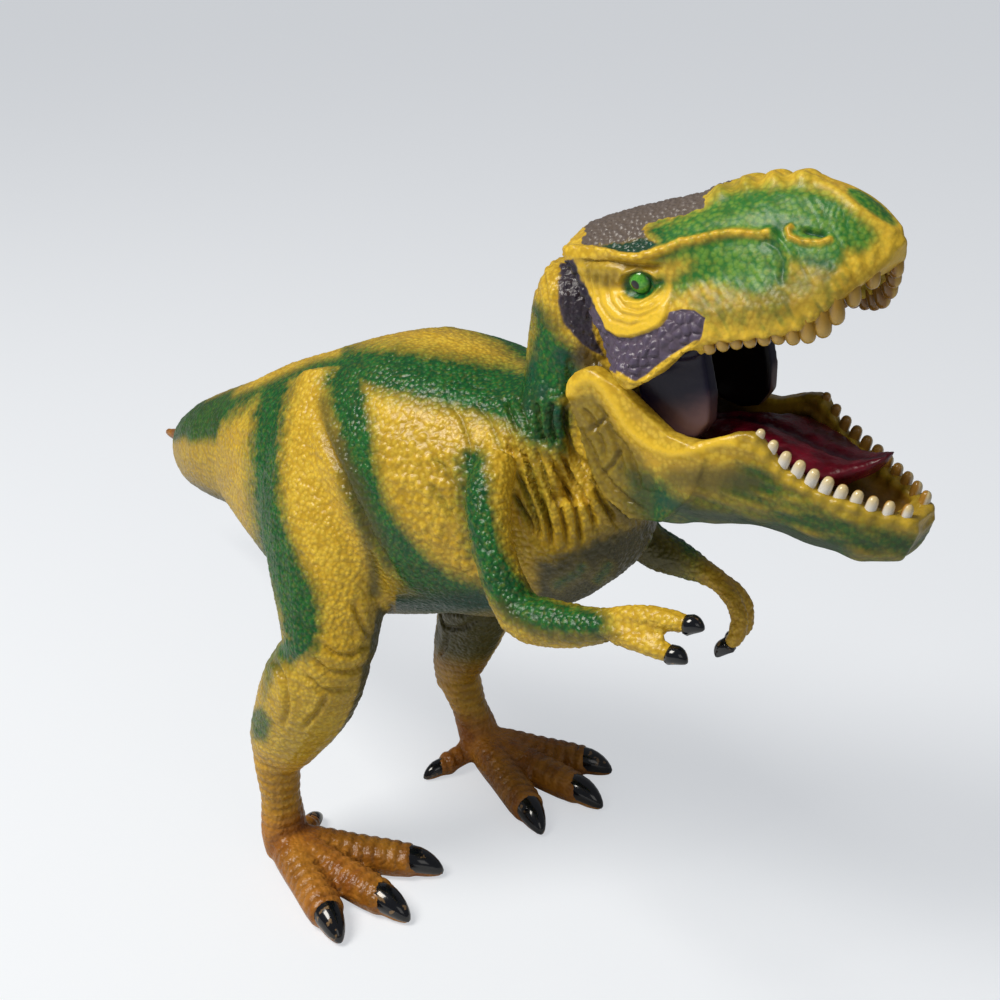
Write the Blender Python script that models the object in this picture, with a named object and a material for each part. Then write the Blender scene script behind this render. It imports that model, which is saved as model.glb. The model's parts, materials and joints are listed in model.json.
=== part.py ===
"""Toy dinosaur figure: a two-legged meat eater with its mouth wide open, cast in solid soft vinyl.

The castings are glued at plugs and sockets: torso, tail, head with neck, two arms and two legs.
Only the lower jaw moves. It turns on a steel pin through the back of the head, and the friction
of its two ears against the head holds it where it is put.
Lengths are metres. X points forward, Y to the animal's left, Z up. The model stands on Z = 0.
"""

import math

import bmesh
import bpy
from mathutils import Matrix, Vector

COLLECTION_NAME = "toy_dinosaur_figure"

# Fits
CLEARANCE = 0.0003
CUT_OVERRUN = 0.002
MERGE_DISTANCE = 0.000005

# Torso
BACK_HEIGHT = 0.1094
TORSO_SPAN = 0.100
TORSO_DEPTH = 0.050
TORSO_WIDTH = 0.050
RUMP_SETBACK = 0.066
TORSO_ROUNDNESS_SHARE = 2.2
# Each row: top edge along and below the back, bottom edge along and below the back, half width
TORSO_SHARES = (
    (0.00, 0.37, -0.02, 0.96, 0.25),
    (0.10, 0.26, 0.08, 1.06, 0.34),
    (0.21, 0.17, 0.20, 1.15, 0.43),
    (0.33, 0.07, 0.34, 1.18, 0.48),
    (0.45, 0.00, 0.49, 1.10, 0.51),
    (0.57, 0.01, 0.62, 1.01, 0.50),
    (0.65, 0.04, 0.74, 0.96, 0.45),
    (0.70, 0.04, 0.84, 0.84, 0.39),
    (0.74, 0.03, 0.915, 0.68, 0.32),
)

# Tail
TAIL_LENGTH = 0.100
TAIL_SWEEP = 0.0575
TAIL_DROP = 0.037
TAIL_THICKNESS = 0.024
TAIL_PEG_RADIUS = 0.0065
TAIL_PEG_LENGTH = 0.009
TAIL_BEND_RINGS = 4
# Each row: back along the tail, sideways, down, half width and half height
TAIL_SHARES = (
    (0.00, 0.00, 0.00, 0.50, 0.60),
    (0.09, 0.01, 0.07, 0.45, 0.50),
    (0.19, 0.08, 0.18, 0.39, 0.41),
    (0.29, 0.23, 0.34, 0.34, 0.35),
    (0.40, 0.41, 0.49, 0.29, 0.30),
    (0.52, 0.60, 0.64, 0.24, 0.25),
    (0.65, 0.77, 0.78, 0.19, 0.20),
    (0.79, 0.88, 0.89, 0.135, 0.14),
    (0.91, 0.95, 0.96, 0.09, 0.09),
    (1.01, 1.00, 1.00, 0.04, 0.04),
)

# Neck
NECK_LENGTH = 0.050
NECK_WIDTH = 0.022
NECK_PEG_RADIUS = 0.008
NECK_PEG_LENGTH = 0.008
# Each row: top edge forward and up from the seam's top, bottom edge forward and up from it, half width
NECK_SHARES = (
    (-0.03, 0.06, 0.41, -0.36, 0.62),
    (-0.03, 0.18, 0.43, -0.07, 0.54),
    (-0.01, 0.30, 0.40, 0.14, 0.52),
    (0.04, 0.40, 0.38, 0.28, 0.50),
    (0.16, 0.44, 0.36, 0.36, 0.38),
)

# Head
HEAD_LENGTH = 0.050
HEAD_WIDTH = 0.032
HEAD_HEIGHT = 0.025
HEAD_PITCH = math.radians(18)
HINGE_FORWARD = 0.018
HINGE_ABOVE_NECK = 0.0025
# Rails of the head's left half, rear to snout: forward from the hinge, half width, up from the hinge
ROOF_SHARES = (
    (-0.04, 0.00, 1.05), (0.14, 0.00, 1.07), (0.38, 0.00, 1.07), (0.60, 0.00, 1.07),
    (0.76, 0.00, 1.02), (0.90, 0.00, 0.875), (0.98, 0.00, 0.68), (1.016, 0.00, 0.56),
)
RIDGE_SHARES = (
    (-0.02, 0.32, 1.03), (0.14, 0.38, 1.04), (0.38, 0.35, 1.03), (0.60, 0.30, 1.01),
    (0.76, 0.27, 0.945), (0.90, 0.21, 0.81), (0.975, 0.13, 0.65), (1.01, 0.05, 0.55),
)
BROW_SHARES = (
    (0.00, 0.80, 0.92), (0.14, 0.91, 0.85), (0.31, 0.92, 0.81), (0.46, 0.80, 0.82),
    (0.62, 0.62, 0.80), (0.76, 0.55, 0.73), (0.90, 0.40, 0.65), (0.995, 0.13, 0.535),
)
ORBIT_SHARES = (
    (0.02, 0.77, 0.74), (0.16, 0.84, 0.66), (0.29, 0.84, 0.60), (0.45, 0.80, 0.61),
    (0.62, 0.74, 0.59), (0.76, 0.67, 0.56), (0.89, 0.52, 0.55), (0.985, 0.18, 0.52),
)
CHEEK_SHARES = (
    (0.06, 0.84, 0.48), (0.16, 0.96, 0.36), (0.30, 1.01, 0.32), (0.45, 0.98, 0.40),
    (0.62, 0.89, 0.39), (0.76, 0.80, 0.37), (0.89, 0.60, 0.46), (0.98, 0.21, 0.51),
)
LIP_SHARES = (
    (0.10, 0.86, 0.28), (0.20, 0.94, 0.16), (0.376, 0.98, 0.02), (0.48, 0.96, 0.25),
    (0.61, 0.91, 0.25), (0.76, 0.81, 0.25), (0.885, 0.60, 0.38), (0.97, 0.22, 0.48),
)

# Mouth cavity in the head, and the lining cast that is glued into it
LINING_THICKNESS = 0.0012
# Each row: forward from the hinge, half width, height of the palate, lower edge of the lining
PALATE_SHARES = (
    (0.12, 0.70, 0.48, 0.24), (0.24, 0.76, 0.52, 0.18), (0.38, 0.78, 0.54, 0.14), (0.50, 0.77, 0.54, 0.28),
    (0.62, 0.73, 0.54, 0.28), (0.75, 0.63, 0.54, 0.29), (0.84, 0.46, 0.56, 0.37), (0.91, 0.24, 0.58, 0.44),
)
# Half of the cavity's section, from its side wall up to its middle: across, and up from its lower edge
PALATE_ARCH_SHARES = ((1.00, 0.00), (1.00, 0.45), (0.88, 0.80), (0.50, 0.97), (0.00, 1.00))
PADDLE_THICKNESS = 0.003
PADDLE_LENGTH = 0.020
PADDLE_DEPTH = 0.020
# Outline of the cheek paddle: forward from the hinge, up from the hinge
PADDLE_SHARES = (
    (0.36, 0.40), (0.98, 0.40), (1.02, 0.20), (1.00, -0.15), (0.94, -0.35), (0.80, -0.46),
    (0.62, -0.45), (0.46, -0.36), (0.36, -0.20),
)

# Lower jaw, in its own frame at the hinge
JAW_LENGTH = 0.053
JAW_WIDTH = 0.029
JAW_DEPTH = 0.020
JAW_DROOP = math.radians(18)
JAW_LIP_SHARES = (
    (0.15, 0.97, 0.08), (0.25, 0.98, 0.08), (0.37, 0.95, 0.14), (0.50, 0.85, 0.41),
    (0.63, 0.78, 0.26), (0.78, 0.66, 0.22), (0.91, 0.47, 0.23), (1.00, 0.20, 0.26),
)
JAW_SIDE_SHARES = (
    (0.13, 1.00, -0.30), (0.24, 1.02, -0.36), (0.37, 1.00, -0.30), (0.50, 0.93, -0.10),
    (0.63, 0.84, -0.05), (0.78, 0.70, -0.02), (0.91, 0.52, 0.00), (1.015, 0.22, 0.04),
)
JAW_UNDER_SHARES = (
    (0.15, 0.78, -0.70), (0.25, 0.82, -0.78), (0.37, 0.78, -0.68), (0.50, 0.69, -0.48),
    (0.63, 0.62, -0.33), (0.78, 0.52, -0.27), (0.91, 0.38, -0.22), (1.00, 0.17, -0.12),
)
JAW_KEEL_SHARES = (
    (0.17, 0.00, -0.84), (0.25, 0.00, -0.92), (0.37, 0.00, -0.84), (0.50, 0.00, -0.60),
    (0.63, 0.00, -0.43), (0.78, 0.00, -0.35), (0.91, 0.00, -0.27), (0.99, 0.00, -0.16),
)
# Each row of the mouth floor: forward, half width, height of the floor
FLOOR_SHARES = (
    (0.00, 0.80, -0.52), (0.12, 0.80, -0.52), (0.25, 0.80, -0.52), (0.38, 0.79, -0.45),
    (0.50, 0.70, -0.10), (0.63, 0.62, 0.04), (0.78, 0.505, 0.045), (0.93, 0.28, 0.08),
)
FLOOR_BOWL_SHARES = ((1.00, 1.10), (1.00, 0.35), (0.86, 0.10), (0.45, 0.01), (0.00, 0.00))
FLOOR_CUT_HEIGHT = 0.016
EAR_THICKNESS = 0.0032
EAR_RADIUS = 0.0046
EAR_ARC_START = math.radians(80)
EAR_ARC_END = math.radians(215)
EAR_ARC_STEPS = 8
# Outline of the jaw's ear after its round end: forward from the hinge, up from the hinge
EAR_SHARES = (
    (0.03, -0.42), (0.09, -0.62), (0.16, -0.74), (0.26, -0.78), (0.36, -0.64), (0.42, -0.30),
    (0.42, 0.10), (0.37, 0.12), (0.28, 0.085), (0.17, 0.16), (0.08, 0.22),
)

# Hinge pin
PIN_RADIUS = 0.0015
PIN_SEAT_DEPTH = 0.0020
BOSS_RADIUS = 0.0040

# Tongue, in the jaw's frame
TONGUE_LENGTH = 0.044
TONGUE_WIDTH = 0.016
TONGUE_RISE = 0.010
# Each row: forward, half width, top, bottom
TONGUE_SHARES = (
    (0.22, 0.30, -0.25, -0.99), (0.32, 0.36, 0.05, -0.99), (0.44, 0.42, 0.34, -0.80),
    (0.60, 0.50, 0.55, 0.09), (0.74, 0.48, 0.60, 0.14), (0.86, 0.36, 0.68, 0.22),
    (0.94, 0.24, 0.85, 0.42), (1.00, 0.10, 1.04, 0.78),
)

# Teeth
TOOTH_SIDES = 6
TOOTH_ROOT = 0.0012
TOOTH_SETBACK = 0.0013
TOOTH_TIP_SHARE = 0.3
TOOTH_TURN = math.radians(17)
UPPER_TOOTH_LENGTH = 0.0046
UPPER_TOOTH_RADIUS = 0.0014
UPPER_TOOTH_ROW_SHARES = (0.49, 0.985)
UPPER_TOOTH_SHARES = (0.45, 0.48, 0.48, 0.50, 0.52, 0.56, 0.66, 0.82, 1.00, 0.94, 0.80, 0.70)
LOWER_TOOTH_LENGTH = 0.0030
LOWER_TOOTH_RADIUS = 0.0011
LOWER_TOOTH_ROW_SHARES = (0.52, 0.98)
LOWER_TOOTH_SHARES = (0.60, 0.75, 0.90, 1.00, 0.96, 1.00, 0.95, 0.92, 0.90, 0.84, 0.80)

# Legs
STANCE_WIDTH = 0.054
HIP_HEIGHT = 0.088
HIP_SETBACK = 0.031
HIP_SEAM = 0.0115
THIGH_WIDTH = 0.034
SHIN_WIDTH = 0.020
FOOT_LENGTH = 0.033
TOE_THICKNESS = 0.0082
CLAW_LENGTH = 0.0066
CLAW_THICKNESS = 0.0060
CLAW_DROP_SHARE = 0.26
SOLE_FLAT = 0.0006
# Joint places: forward share of the hip height, sideways share of half the stance, height share of the hip
RIGHT_LEG_SHARES = {
    "hip": (-0.045, 0.36, 1.125), "knee": (0.085, 0.945, 0.605), "ankle": (-0.085, 1.00, 0.305),
    "heel": (-0.085, 1.00, 0.305), "root": (-0.075, 1.00, 0.07),
}
LEFT_LEG_SHARES = {
    "hip": (-0.045, 0.36, 1.125), "knee": (0.090, 0.83, 0.60), "ankle": (-0.060, 0.94, 0.245),
    "heel": (-0.045, 0.94, 0.25), "root": (0.015, 1.00, 0.07),
}
LEFT_SHIN_SHARE = 0.82
# Rows of a tube: distance along it, half thickness fore and aft, half thickness sideways
THIGH_SHARES = (
    (-0.06, 0.22, 0.14), (0.12, 0.38, 0.25), (0.39, 0.48, 0.31), (0.58, 0.455, 0.31),
    (0.90, 0.30, 0.26), (1.00, 0.265, 0.24), (1.12, 0.16, 0.15),
)
SHIN_SHARES = (
    (-0.24, 0.26, 0.24), (0.00, 0.43, 0.38), (0.38, 0.50, 0.41), (0.70, 0.43, 0.34),
    (0.95, 0.34, 0.26), (1.14, 0.17, 0.14),
)
METATARSUS_SHARES = (
    (-0.10, 0.17, 0.16), (0.10, 0.24, 0.23), (0.50, 0.19, 0.20), (0.85, 0.20, 0.26),
    (1.12, 0.14, 0.24),
)
# Each toe: turn from straight ahead towards the outside, length share of the foot
TOE_SHARES = ((-28.5, 0.99), (0.0, 1.01), (25.0, 0.91))
HALLUX_TURN = -107.0
HALLUX_LENGTH = 0.0153
HALLUX_SHARE = 0.62
TOE_TUBE_SHARES = (
    (-0.10, 0.38, 0.44), (0.20, 0.54, 0.50), (0.55, 0.48, 0.48), (0.90, 0.44, 0.47),
    (1.00, 0.37, 0.41),
)
CLAW_TUBE_SHARES = ((-0.30, 0.40, 0.44), (0.10, 0.44, 0.46), (0.60, 0.33, 0.34), (1.00, 0.12, 0.14))

# Arms
SHOULDER_HEIGHT = 0.0914
SHOULDER_ALONG_SHARE = 0.76
SHOULDER_WIDTH = 0.040
ARM_REACH = 0.030
ARM_THICKNESS = 0.0100
FINGER_THICKNESS = 0.0036
HAND_LENGTH = 0.018
# Each arm station: forward, sideways and up from the shoulder in arm reaches, and half thickness
RIGHT_ARM_SHARES = (
    ((0.00, -0.10, 0.20), 0.34), ((0.05, 0.06, 0.04), 0.40), ((0.13, 0.15, -0.13), 0.37),
    ((0.25, 0.21, -0.33), 0.36), ((0.40, 0.23, -0.52), 0.40), ((0.57, 0.23, -0.52), 0.41),
    ((0.77, 0.23, -0.48), 0.36), ((0.95, 0.23, -0.42), 0.29),
)
LEFT_ARM_SHARES = (
    ((-0.04, -0.16, 0.00), 0.40), ((0.05, -0.06, -0.36), 0.42), ((0.19, -0.02, -0.68), 0.43),
    ((0.40, 0.03, -0.77), 0.38), ((0.58, 0.09, -0.84), 0.25), ((0.72, 0.09, -0.88), 0.20),
)
# Each finger: points after the wrist in hand lengths forward, sideways and up, the last one the claw's tip
RIGHT_FINGER_SHARES = (
    (
        (-0.20, 0.00, -0.02), (0.28, 0.02, 0.20), (0.56, 0.02, 0.27),
        (0.76, 0.02, 0.29), (0.98, 0.00, 0.30),
    ),
    (
        (-0.20, 0.00, -0.02), (0.24, 0.10, 0.03), (0.46, 0.12, 0.04),
        (0.66, 0.12, 0.04), (0.90, 0.10, 0.00),
    ),
)
LEFT_FINGER_SHARES = (
    (
        (-0.15, 0.00, 0.06), (0.16, -0.04, -0.12), (0.28, -0.08, -0.32),
        (0.27, -0.13, -0.50), (0.10, -0.20, -0.74),
    ),
    (
        (-0.15, 0.00, 0.06), (0.12, 0.14, -0.14), (0.22, 0.16, -0.34),
        (0.21, 0.14, -0.52), (0.06, 0.10, -0.76),
    ),
)

RING_POINTS = 24
LIMB_POINTS = 14
TOE_POINTS = 10

VINYL_YELLOW = (0.62, 0.44, 0.06, 1.0)
VINYL_GREEN = (0.05, 0.26, 0.09, 1.0)
VINYL_BROWN = (0.40, 0.17, 0.03, 1.0)
VINYL_MAROON = (0.16, 0.01, 0.02, 1.0)
VINYL_DARK = (0.04, 0.03, 0.05, 1.0)
PIN_STEEL = (0.60, 0.60, 0.62, 1.0)


def clear_scene():
    for thing in list(bpy.data.objects):
        bpy.data.objects.remove(thing)


def painted(name, colour, roughness=0.4, metallic=0.0):
    """One Principled material, made once for each name."""
    material = bpy.data.materials.get(name) or bpy.data.materials.new(name)
    material.use_nodes = True
    shader = material.node_tree.nodes["Principled BSDF"]
    shader.inputs["Base Color"].default_value = colour
    shader.inputs["Roughness"].default_value = roughness
    shader.inputs["Metallic"].default_value = metallic
    material.diffuse_color = colour
    return material


def through(rows, steps):
    """Rows of numbers resampled on a smooth curve through them, with that many steps between each two."""
    rows = [Vector(row) for row in rows]
    found = []
    for index in range(len(rows) - 1):
        before = rows[max(index - 1, 0)]
        start, end = rows[index], rows[index + 1]
        after = rows[min(index + 2, len(rows) - 1)]
        for step in range(steps):
            t = step / steps
            found.append(
                0.5
                * (
                    2 * start
                    + (end - before) * t
                    + (2 * before - 5 * start + 4 * end - after) * t**2
                    + (3 * start - before - 3 * end + after) * t**3
                )
            )
    found.append(rows[-1])
    return found


def loft(name, rings):
    """A closed body through rings of equally many points, with a fan over each end."""
    mesh = bmesh.new()
    made = [[mesh.verts.new(point) for point in ring] for ring in rings]
    count = len(rings[0])
    for ring, following in zip(made, made[1:]):
        for i in range(count):
            j = (i + 1) % count
            mesh.faces.new((ring[i], ring[j], following[j], following[i]))
    for ring, flip in ((made[0], True), (made[-1], False)):
        middle = mesh.verts.new(sum((vert.co for vert in ring), Vector()) / count)
        for i in range(count):
            j = (i + 1) % count
            mesh.faces.new((middle, ring[j], ring[i]) if flip else (middle, ring[i], ring[j]))
    bmesh.ops.recalc_face_normals(mesh, faces=mesh.faces)
    data = bpy.data.meshes.new(name)
    mesh.to_mesh(data)
    mesh.free()
    body = bpy.data.objects.new(name, data)
    bpy.context.scene.collection.objects.link(body)
    return body


def boolean(target, tool, operation):
    """Joins tool to target, or cuts it out, and removes the tool."""
    modifier = target.modifiers.new(operation.lower(), "BOOLEAN")
    modifier.operation = operation
    modifier.solver = "EXACT"
    modifier.object = tool
    bpy.context.view_layer.update()
    graph = bpy.context.evaluated_depsgraph_get()
    result = bpy.data.meshes.new_from_object(target.evaluated_get(graph))
    target.modifiers.clear()
    target.data = result
    bpy.data.objects.remove(tool)
    return target


def mend(body):
    """Merges the slivers that a cut leaves, before more pieces are joined on."""
    mesh = bmesh.new()
    mesh.from_mesh(body.data)
    bmesh.ops.remove_doubles(mesh, verts=mesh.verts, dist=MERGE_DISTANCE)
    bmesh.ops.dissolve_degenerate(mesh, edges=mesh.edges, dist=MERGE_DISTANCE / 2)
    mesh.to_mesh(body.data)
    mesh.free()


def join(target, *tools):
    for tool in tools:
        boolean(target, tool, "UNION")
    return target


def cut(target, *tools):
    for tool in tools:
        boolean(target, tool, "DIFFERENCE")
    return target


def oval_ring(centre, side, upright, half_side, half_up, points, roundness=2.0):
    """A closed ring about centre: an ellipse where roundness is 2, squarer above that."""
    ring = []
    for i in range(points):
        angle = 2 * math.pi * i / points
        across, up = math.cos(angle), math.sin(angle)
        across = math.copysign(abs(across) ** (2 / roundness), across)
        up = math.copysign(abs(up) ** (2 / roundness), up)
        ring.append(centre + side * (half_side * across) + upright * (half_up * up))
    return ring


def tube(name, path, sizes, points, grow=0.0):
    """A tube along path. Each size is its half thickness in the body's plane and across it."""
    path = [Vector(point) for point in path]
    path[0] += (path[0] - path[1]).normalized() * grow
    path[-1] += (path[-1] - path[-2]).normalized() * grow
    rings = []
    for i, centre in enumerate(path):
        along = (path[min(i + 1, len(path) - 1)] - path[max(i - 1, 0)]).normalized()
        side = Vector((0, 1, 0)) - along * along.y
        if side.length < 0.35:
            side = Vector((1, 0, 0)) - along * along.x
        side.normalize()
        upright = along.cross(side)
        in_plane, across = sizes[i]
        rings.append(oval_ring(centre, side, upright, across + grow, in_plane + grow, points))
    return loft(name, rings)


def cylinder(name, start, end, radius, sides=24):
    """A round bar from start to end."""
    run = end - start
    bpy.ops.mesh.primitive_cylinder_add(vertices=sides, radius=radius, depth=run.length)
    bar = bpy.context.active_object
    bar.name = name
    turn = Vector((0, 0, 1)).rotation_difference(run.normalized()).to_matrix().to_4x4()
    bar.data.transform(Matrix.Translation((start + end) / 2) @ turn)
    return bar


def box_between(name, low, high):
    bpy.ops.mesh.primitive_cube_add(size=1.0)
    block = bpy.context.active_object
    block.name = name
    size = Vector(high) - Vector(low)
    centre = (Vector(low) + Vector(high)) / 2
    block.data.transform(Matrix.Translation(centre) @ Matrix.Diagonal((*size, 1.0)))
    return block


def plate(name, outline, frame, inner, outer):
    """A flat plate with this outline in the frame's plane, between two distances to its side."""
    rings = [[frame @ Vector((u, y, w)) for u, w in outline] for y in (inner, outer)]
    mesh = bmesh.new()
    made = [[mesh.verts.new(point) for point in ring] for ring in rings]
    count = len(outline)
    for i in range(count):
        j = (i + 1) % count
        mesh.faces.new((made[0][i], made[0][j], made[1][j], made[1][i]))
    mesh.faces.new(made[0])
    mesh.faces.new(made[1])
    bmesh.ops.triangulate(mesh, faces=mesh.faces)
    bmesh.ops.recalc_face_normals(mesh, faces=mesh.faces)
    data = bpy.data.meshes.new(name)
    mesh.to_mesh(data)
    mesh.free()
    body = bpy.data.objects.new(name, data)
    bpy.context.scene.collection.objects.link(body)
    return body


def torso_edges():
    """Top edge, bottom edge and half width of each ring of the torso, rump to neck."""
    rows = through(TORSO_SHARES, 2)
    found = []
    for top_along, top_drop, low_along, low_drop, half in rows:
        top = Vector((top_along * TORSO_SPAN - RUMP_SETBACK, 0, BACK_HEIGHT - top_drop * TORSO_DEPTH))
        low = Vector((low_along * TORSO_SPAN - RUMP_SETBACK, 0, BACK_HEIGHT - low_drop * TORSO_DEPTH))
        found.append((top, low, half * TORSO_WIDTH))
    return found


def edge_ring(top, low, half, shift=Vector()):
    """A ring of the body between its top and bottom edges."""
    upright = (top - low).normalized()
    return oval_ring(
        (top + low) / 2 + shift, Vector((0, 1, 0)), upright, half, (top - low).length / 2,
        RING_POINTS, TORSO_ROUNDNESS_SHARE,
    )


def seam_facing(top, low):
    """The unit vector square to a seam plane, pointing forward."""
    return Vector((0, 1, 0)).cross((top - low).normalized())


def neck_seam():
    """Centre and facing of the seam between torso and neck."""
    top, low, _ = torso_edges()[-1]
    return (top + low) / 2, seam_facing(top, low)


def rump_seam():
    """Centre and facing of the seam between torso and tail, facing forward."""
    top, low, _ = torso_edges()[0]
    return (top + low) / 2, seam_facing(top, low)


def hinge_place():
    """Where the jaw's hinge axis crosses the animal's middle plane."""
    top, _, _ = torso_edges()[-1]
    return top + Vector((HINGE_FORWARD, 0, HINGE_ABOVE_NECK))


def pitched_frame(pitch):
    """A frame at the hinge, its X axis forward along the head or jaw."""
    return Matrix.Translation(hinge_place()) @ Matrix.Rotation(-pitch, 4, "Y")


def head_frame():
    return pitched_frame(HEAD_PITCH)


def jaw_frame():
    return pitched_frame(-JAW_DROOP)


def make_torso():
    return loft("torso", [edge_ring(*edges) for edges in torso_edges()])


def make_tail():
    """The tail carries on from the rump, curls to the animal's left and ends in a thin tip."""
    top, low, half = torso_edges()[0]
    seam, forward = rump_seam()
    shift = forward * -CLEARANCE
    start = seam + shift
    rows = through(TAIL_SHARES, 2)
    path = [start + Vector((-row[0] * TAIL_LENGTH, row[1] * TAIL_SWEEP, -row[2] * TAIL_DROP)) for row in rows]
    rings = [edge_ring(top, low, half, shift)]
    for i in range(1, len(path)):
        along = (path[min(i + 1, len(path) - 1)] - path[i - 1]).normalized()
        along = (-forward).lerp(along, min(1.0, i / TAIL_BEND_RINGS)).normalized()
        side = (Vector((0, 1, 0)) - along * along.y).normalized()
        half_side, half_up = rows[i][3] * TAIL_THICKNESS, rows[i][4] * TAIL_THICKNESS
        rings.append(oval_ring(path[i], side, side.cross(along), half_side, half_up, RING_POINTS, 2.1))
    tail = loft("tail", rings)
    peg_start, peg_end = start - forward * TAIL_PEG_RADIUS, start + forward * TAIL_PEG_LENGTH
    return join(tail, cylinder("tail_peg", peg_start, peg_end, TAIL_PEG_RADIUS))


def tail_socket():
    seam, forward = rump_seam()
    mouth, bottom = seam - forward * CUT_OVERRUN, seam + forward * (TAIL_PEG_LENGTH + CLEARANCE)
    return cylinder("tail_socket", mouth, bottom, TAIL_PEG_RADIUS + CLEARANCE)


def neck_edges():
    """Edges of the neck's rings, from the seam up into the head."""
    top, low, half = torso_edges()[-1]
    shift = neck_seam()[1] * CLEARANCE
    found = [(top + shift, low + shift, half)]
    for top_x, top_z, low_x, low_z, width in NECK_SHARES:
        found.append(
            (
                top + Vector((top_x, 0, top_z)) * NECK_LENGTH,
                top + Vector((low_x, 0, low_z)) * NECK_LENGTH,
                width * NECK_WIDTH,
            )
        )
    return found


def make_neck():
    seam, forward = neck_seam()
    neck = loft("neck", [edge_ring(*edges) for edges in neck_edges()])
    peg_start, peg_end = seam + forward * NECK_PEG_RADIUS, seam - forward * NECK_PEG_LENGTH
    return join(neck, cylinder("neck_peg", peg_start, peg_end, NECK_PEG_RADIUS))


def neck_socket():
    seam, forward = neck_seam()
    mouth, bottom = seam + forward * CUT_OVERRUN, seam - forward * (NECK_PEG_LENGTH + CLEARANCE)
    return cylinder("neck_socket", mouth, bottom, NECK_PEG_RADIUS + CLEARANCE)


def rail(shares, length, width, height, steps):
    """Points along one edge of the head or jaw, in its frame."""
    return [
        Vector((u * length, half * width / 2, w * height)) for u, half, w in through(shares, steps)
    ]


def mirrored(points):
    """Points of a half section, then the same points on the other side, without the shared first and last."""
    return points + [Vector((p.x, -p.y, p.z)) for p in points[-2:0:-1]]


def rail_loft(name, rails, frame):
    """A body whose left half runs through the rails, and whose right half mirrors it."""
    rings = []
    for section in zip(*rails):
        rings.append([frame @ point for point in mirrored(list(section))])
    return loft(name, rings)


def rounded(rails, steps, corners):
    """More rails between the given ones, on smooth curves across the section, with its corners kept."""
    found = [[] for _ in range((len(rails) - 1) * steps + 1)]
    for section in zip(*rails):
        points = []
        starts = [0, *corners, len(section) - 1]
        for start, end in zip(starts, starts[1:]):
            points += through(section[start : end + 1], steps)[:-1]
        points.append(section[-1])
        for line, point in zip(found, points):
            line.append(Vector(point))
    return found


def head_rails():
    """The head's outer rails, roof to lip, and the middle of its underside."""
    sizes = (HEAD_LENGTH, HEAD_WIDTH, HEAD_HEIGHT)
    shares = (ROOF_SHARES, RIDGE_SHARES, BROW_SHARES, ORBIT_SHARES, CHEEK_SHARES, LIP_SHARES)
    outer = [rail(row, *sizes, 3) for row in shares]
    under = [Vector((lip.x, 0, lip.z)) for lip in outer[-1]]
    return rounded(outer, 2, ()) + [under]


def arch_body(name, grow, below):
    """The mouth cavity as a solid, grown or shrunk all round, and reaching that far below its lower edge."""
    rows = through(PALATE_SHARES, 3)
    middle = (rows[0][0] + rows[-1][0]) / 2 * HEAD_LENGTH
    half_run = (rows[-1][0] - rows[0][0]) / 2 * HEAD_LENGTH
    rails = []
    for across, up in PALATE_ARCH_SHARES:
        line = []
        for u, half, top, low in rows:
            forward = middle + (u * HEAD_LENGTH - middle) * (1 + grow / half_run)
            floor = low * HEAD_HEIGHT
            roof = top * HEAD_HEIGHT + grow
            height = floor + (roof - floor) * up - (0 if up else below)
            line.append(Vector((forward, across * (half * HEAD_WIDTH / 2 + grow), height)))
        rails.append(line)
    foot = [Vector((p.x, 0, p.z)) for p in rails[0]]
    return rail_loft(name, [foot, *rails], head_frame())


def tooth_row(name, line, span, shares, radius, length, frame, up):
    """Cone teeth along a lip, a row on each side. Every second tooth joins the rest, where they may touch."""
    first, last = span
    sets = []
    for offset in (0, 1):
        mesh = bmesh.new()
        for side in (1, -1):
            for i in range(offset, len(shares), 2):
                share = shares[i]
                u = (first + (last - first) * i / (len(shares) - 1)) * line[-1].x
                pairs = zip(line, line[1:])
                place = next(a.lerp(b, (u - a.x) / (b.x - a.x)) for a, b in pairs if a.x <= u <= b.x)
                nose = i / (len(shares) - 1)
                inward = Vector((-nose * nose, nose * nose - 1.4, 0)).normalized()
                seat = place + inward * TOOTH_SETBACK
                seat.y *= side
                depth = length * share + TOOTH_ROOT
                broad = radius * (share + 1) / 2
                middle = seat + Vector((0, 0, up * (depth / 2 - TOOTH_ROOT)))
                flip = Matrix.Rotation(0 if up > 0 else math.pi, 4, "X") @ Matrix.Rotation(TOOTH_TURN, 4, "Z")
                bmesh.ops.create_cone(
                    mesh, cap_ends=True, segments=TOOTH_SIDES, radius1=broad, radius2=broad * TOOTH_TIP_SHARE,
                    depth=depth, matrix=frame @ Matrix.Translation(middle) @ flip,
                )
        data = bpy.data.meshes.new(name)
        mesh.to_mesh(data)
        mesh.free()
        row = bpy.data.objects.new(name, data)
        bpy.context.scene.collection.objects.link(row)
        sets.append(row)
    return join(*sets)


def ear_inner():
    """Distance of the ears' inner faces from the middle plane: just clear of the hinge boss."""
    return NECK_WIDTH / 2 + CLEARANCE


def ear_room(side):
    """Clear space beside the neck for one of the jaw's ears."""
    hinge = hinge_place()
    rear = hinge.x - EAR_RADIUS - CUT_OVERRUN
    near, far = sorted((side * (NECK_WIDTH / 2 - CLEARANCE), side * HEAD_WIDTH))
    top = hinge.z + EAR_RADIUS + CUT_OVERRUN
    return box_between("ear_room", (rear, near, hinge.z - JAW_DEPTH), (hinge.x + JAW_LENGTH, far, top))


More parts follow.
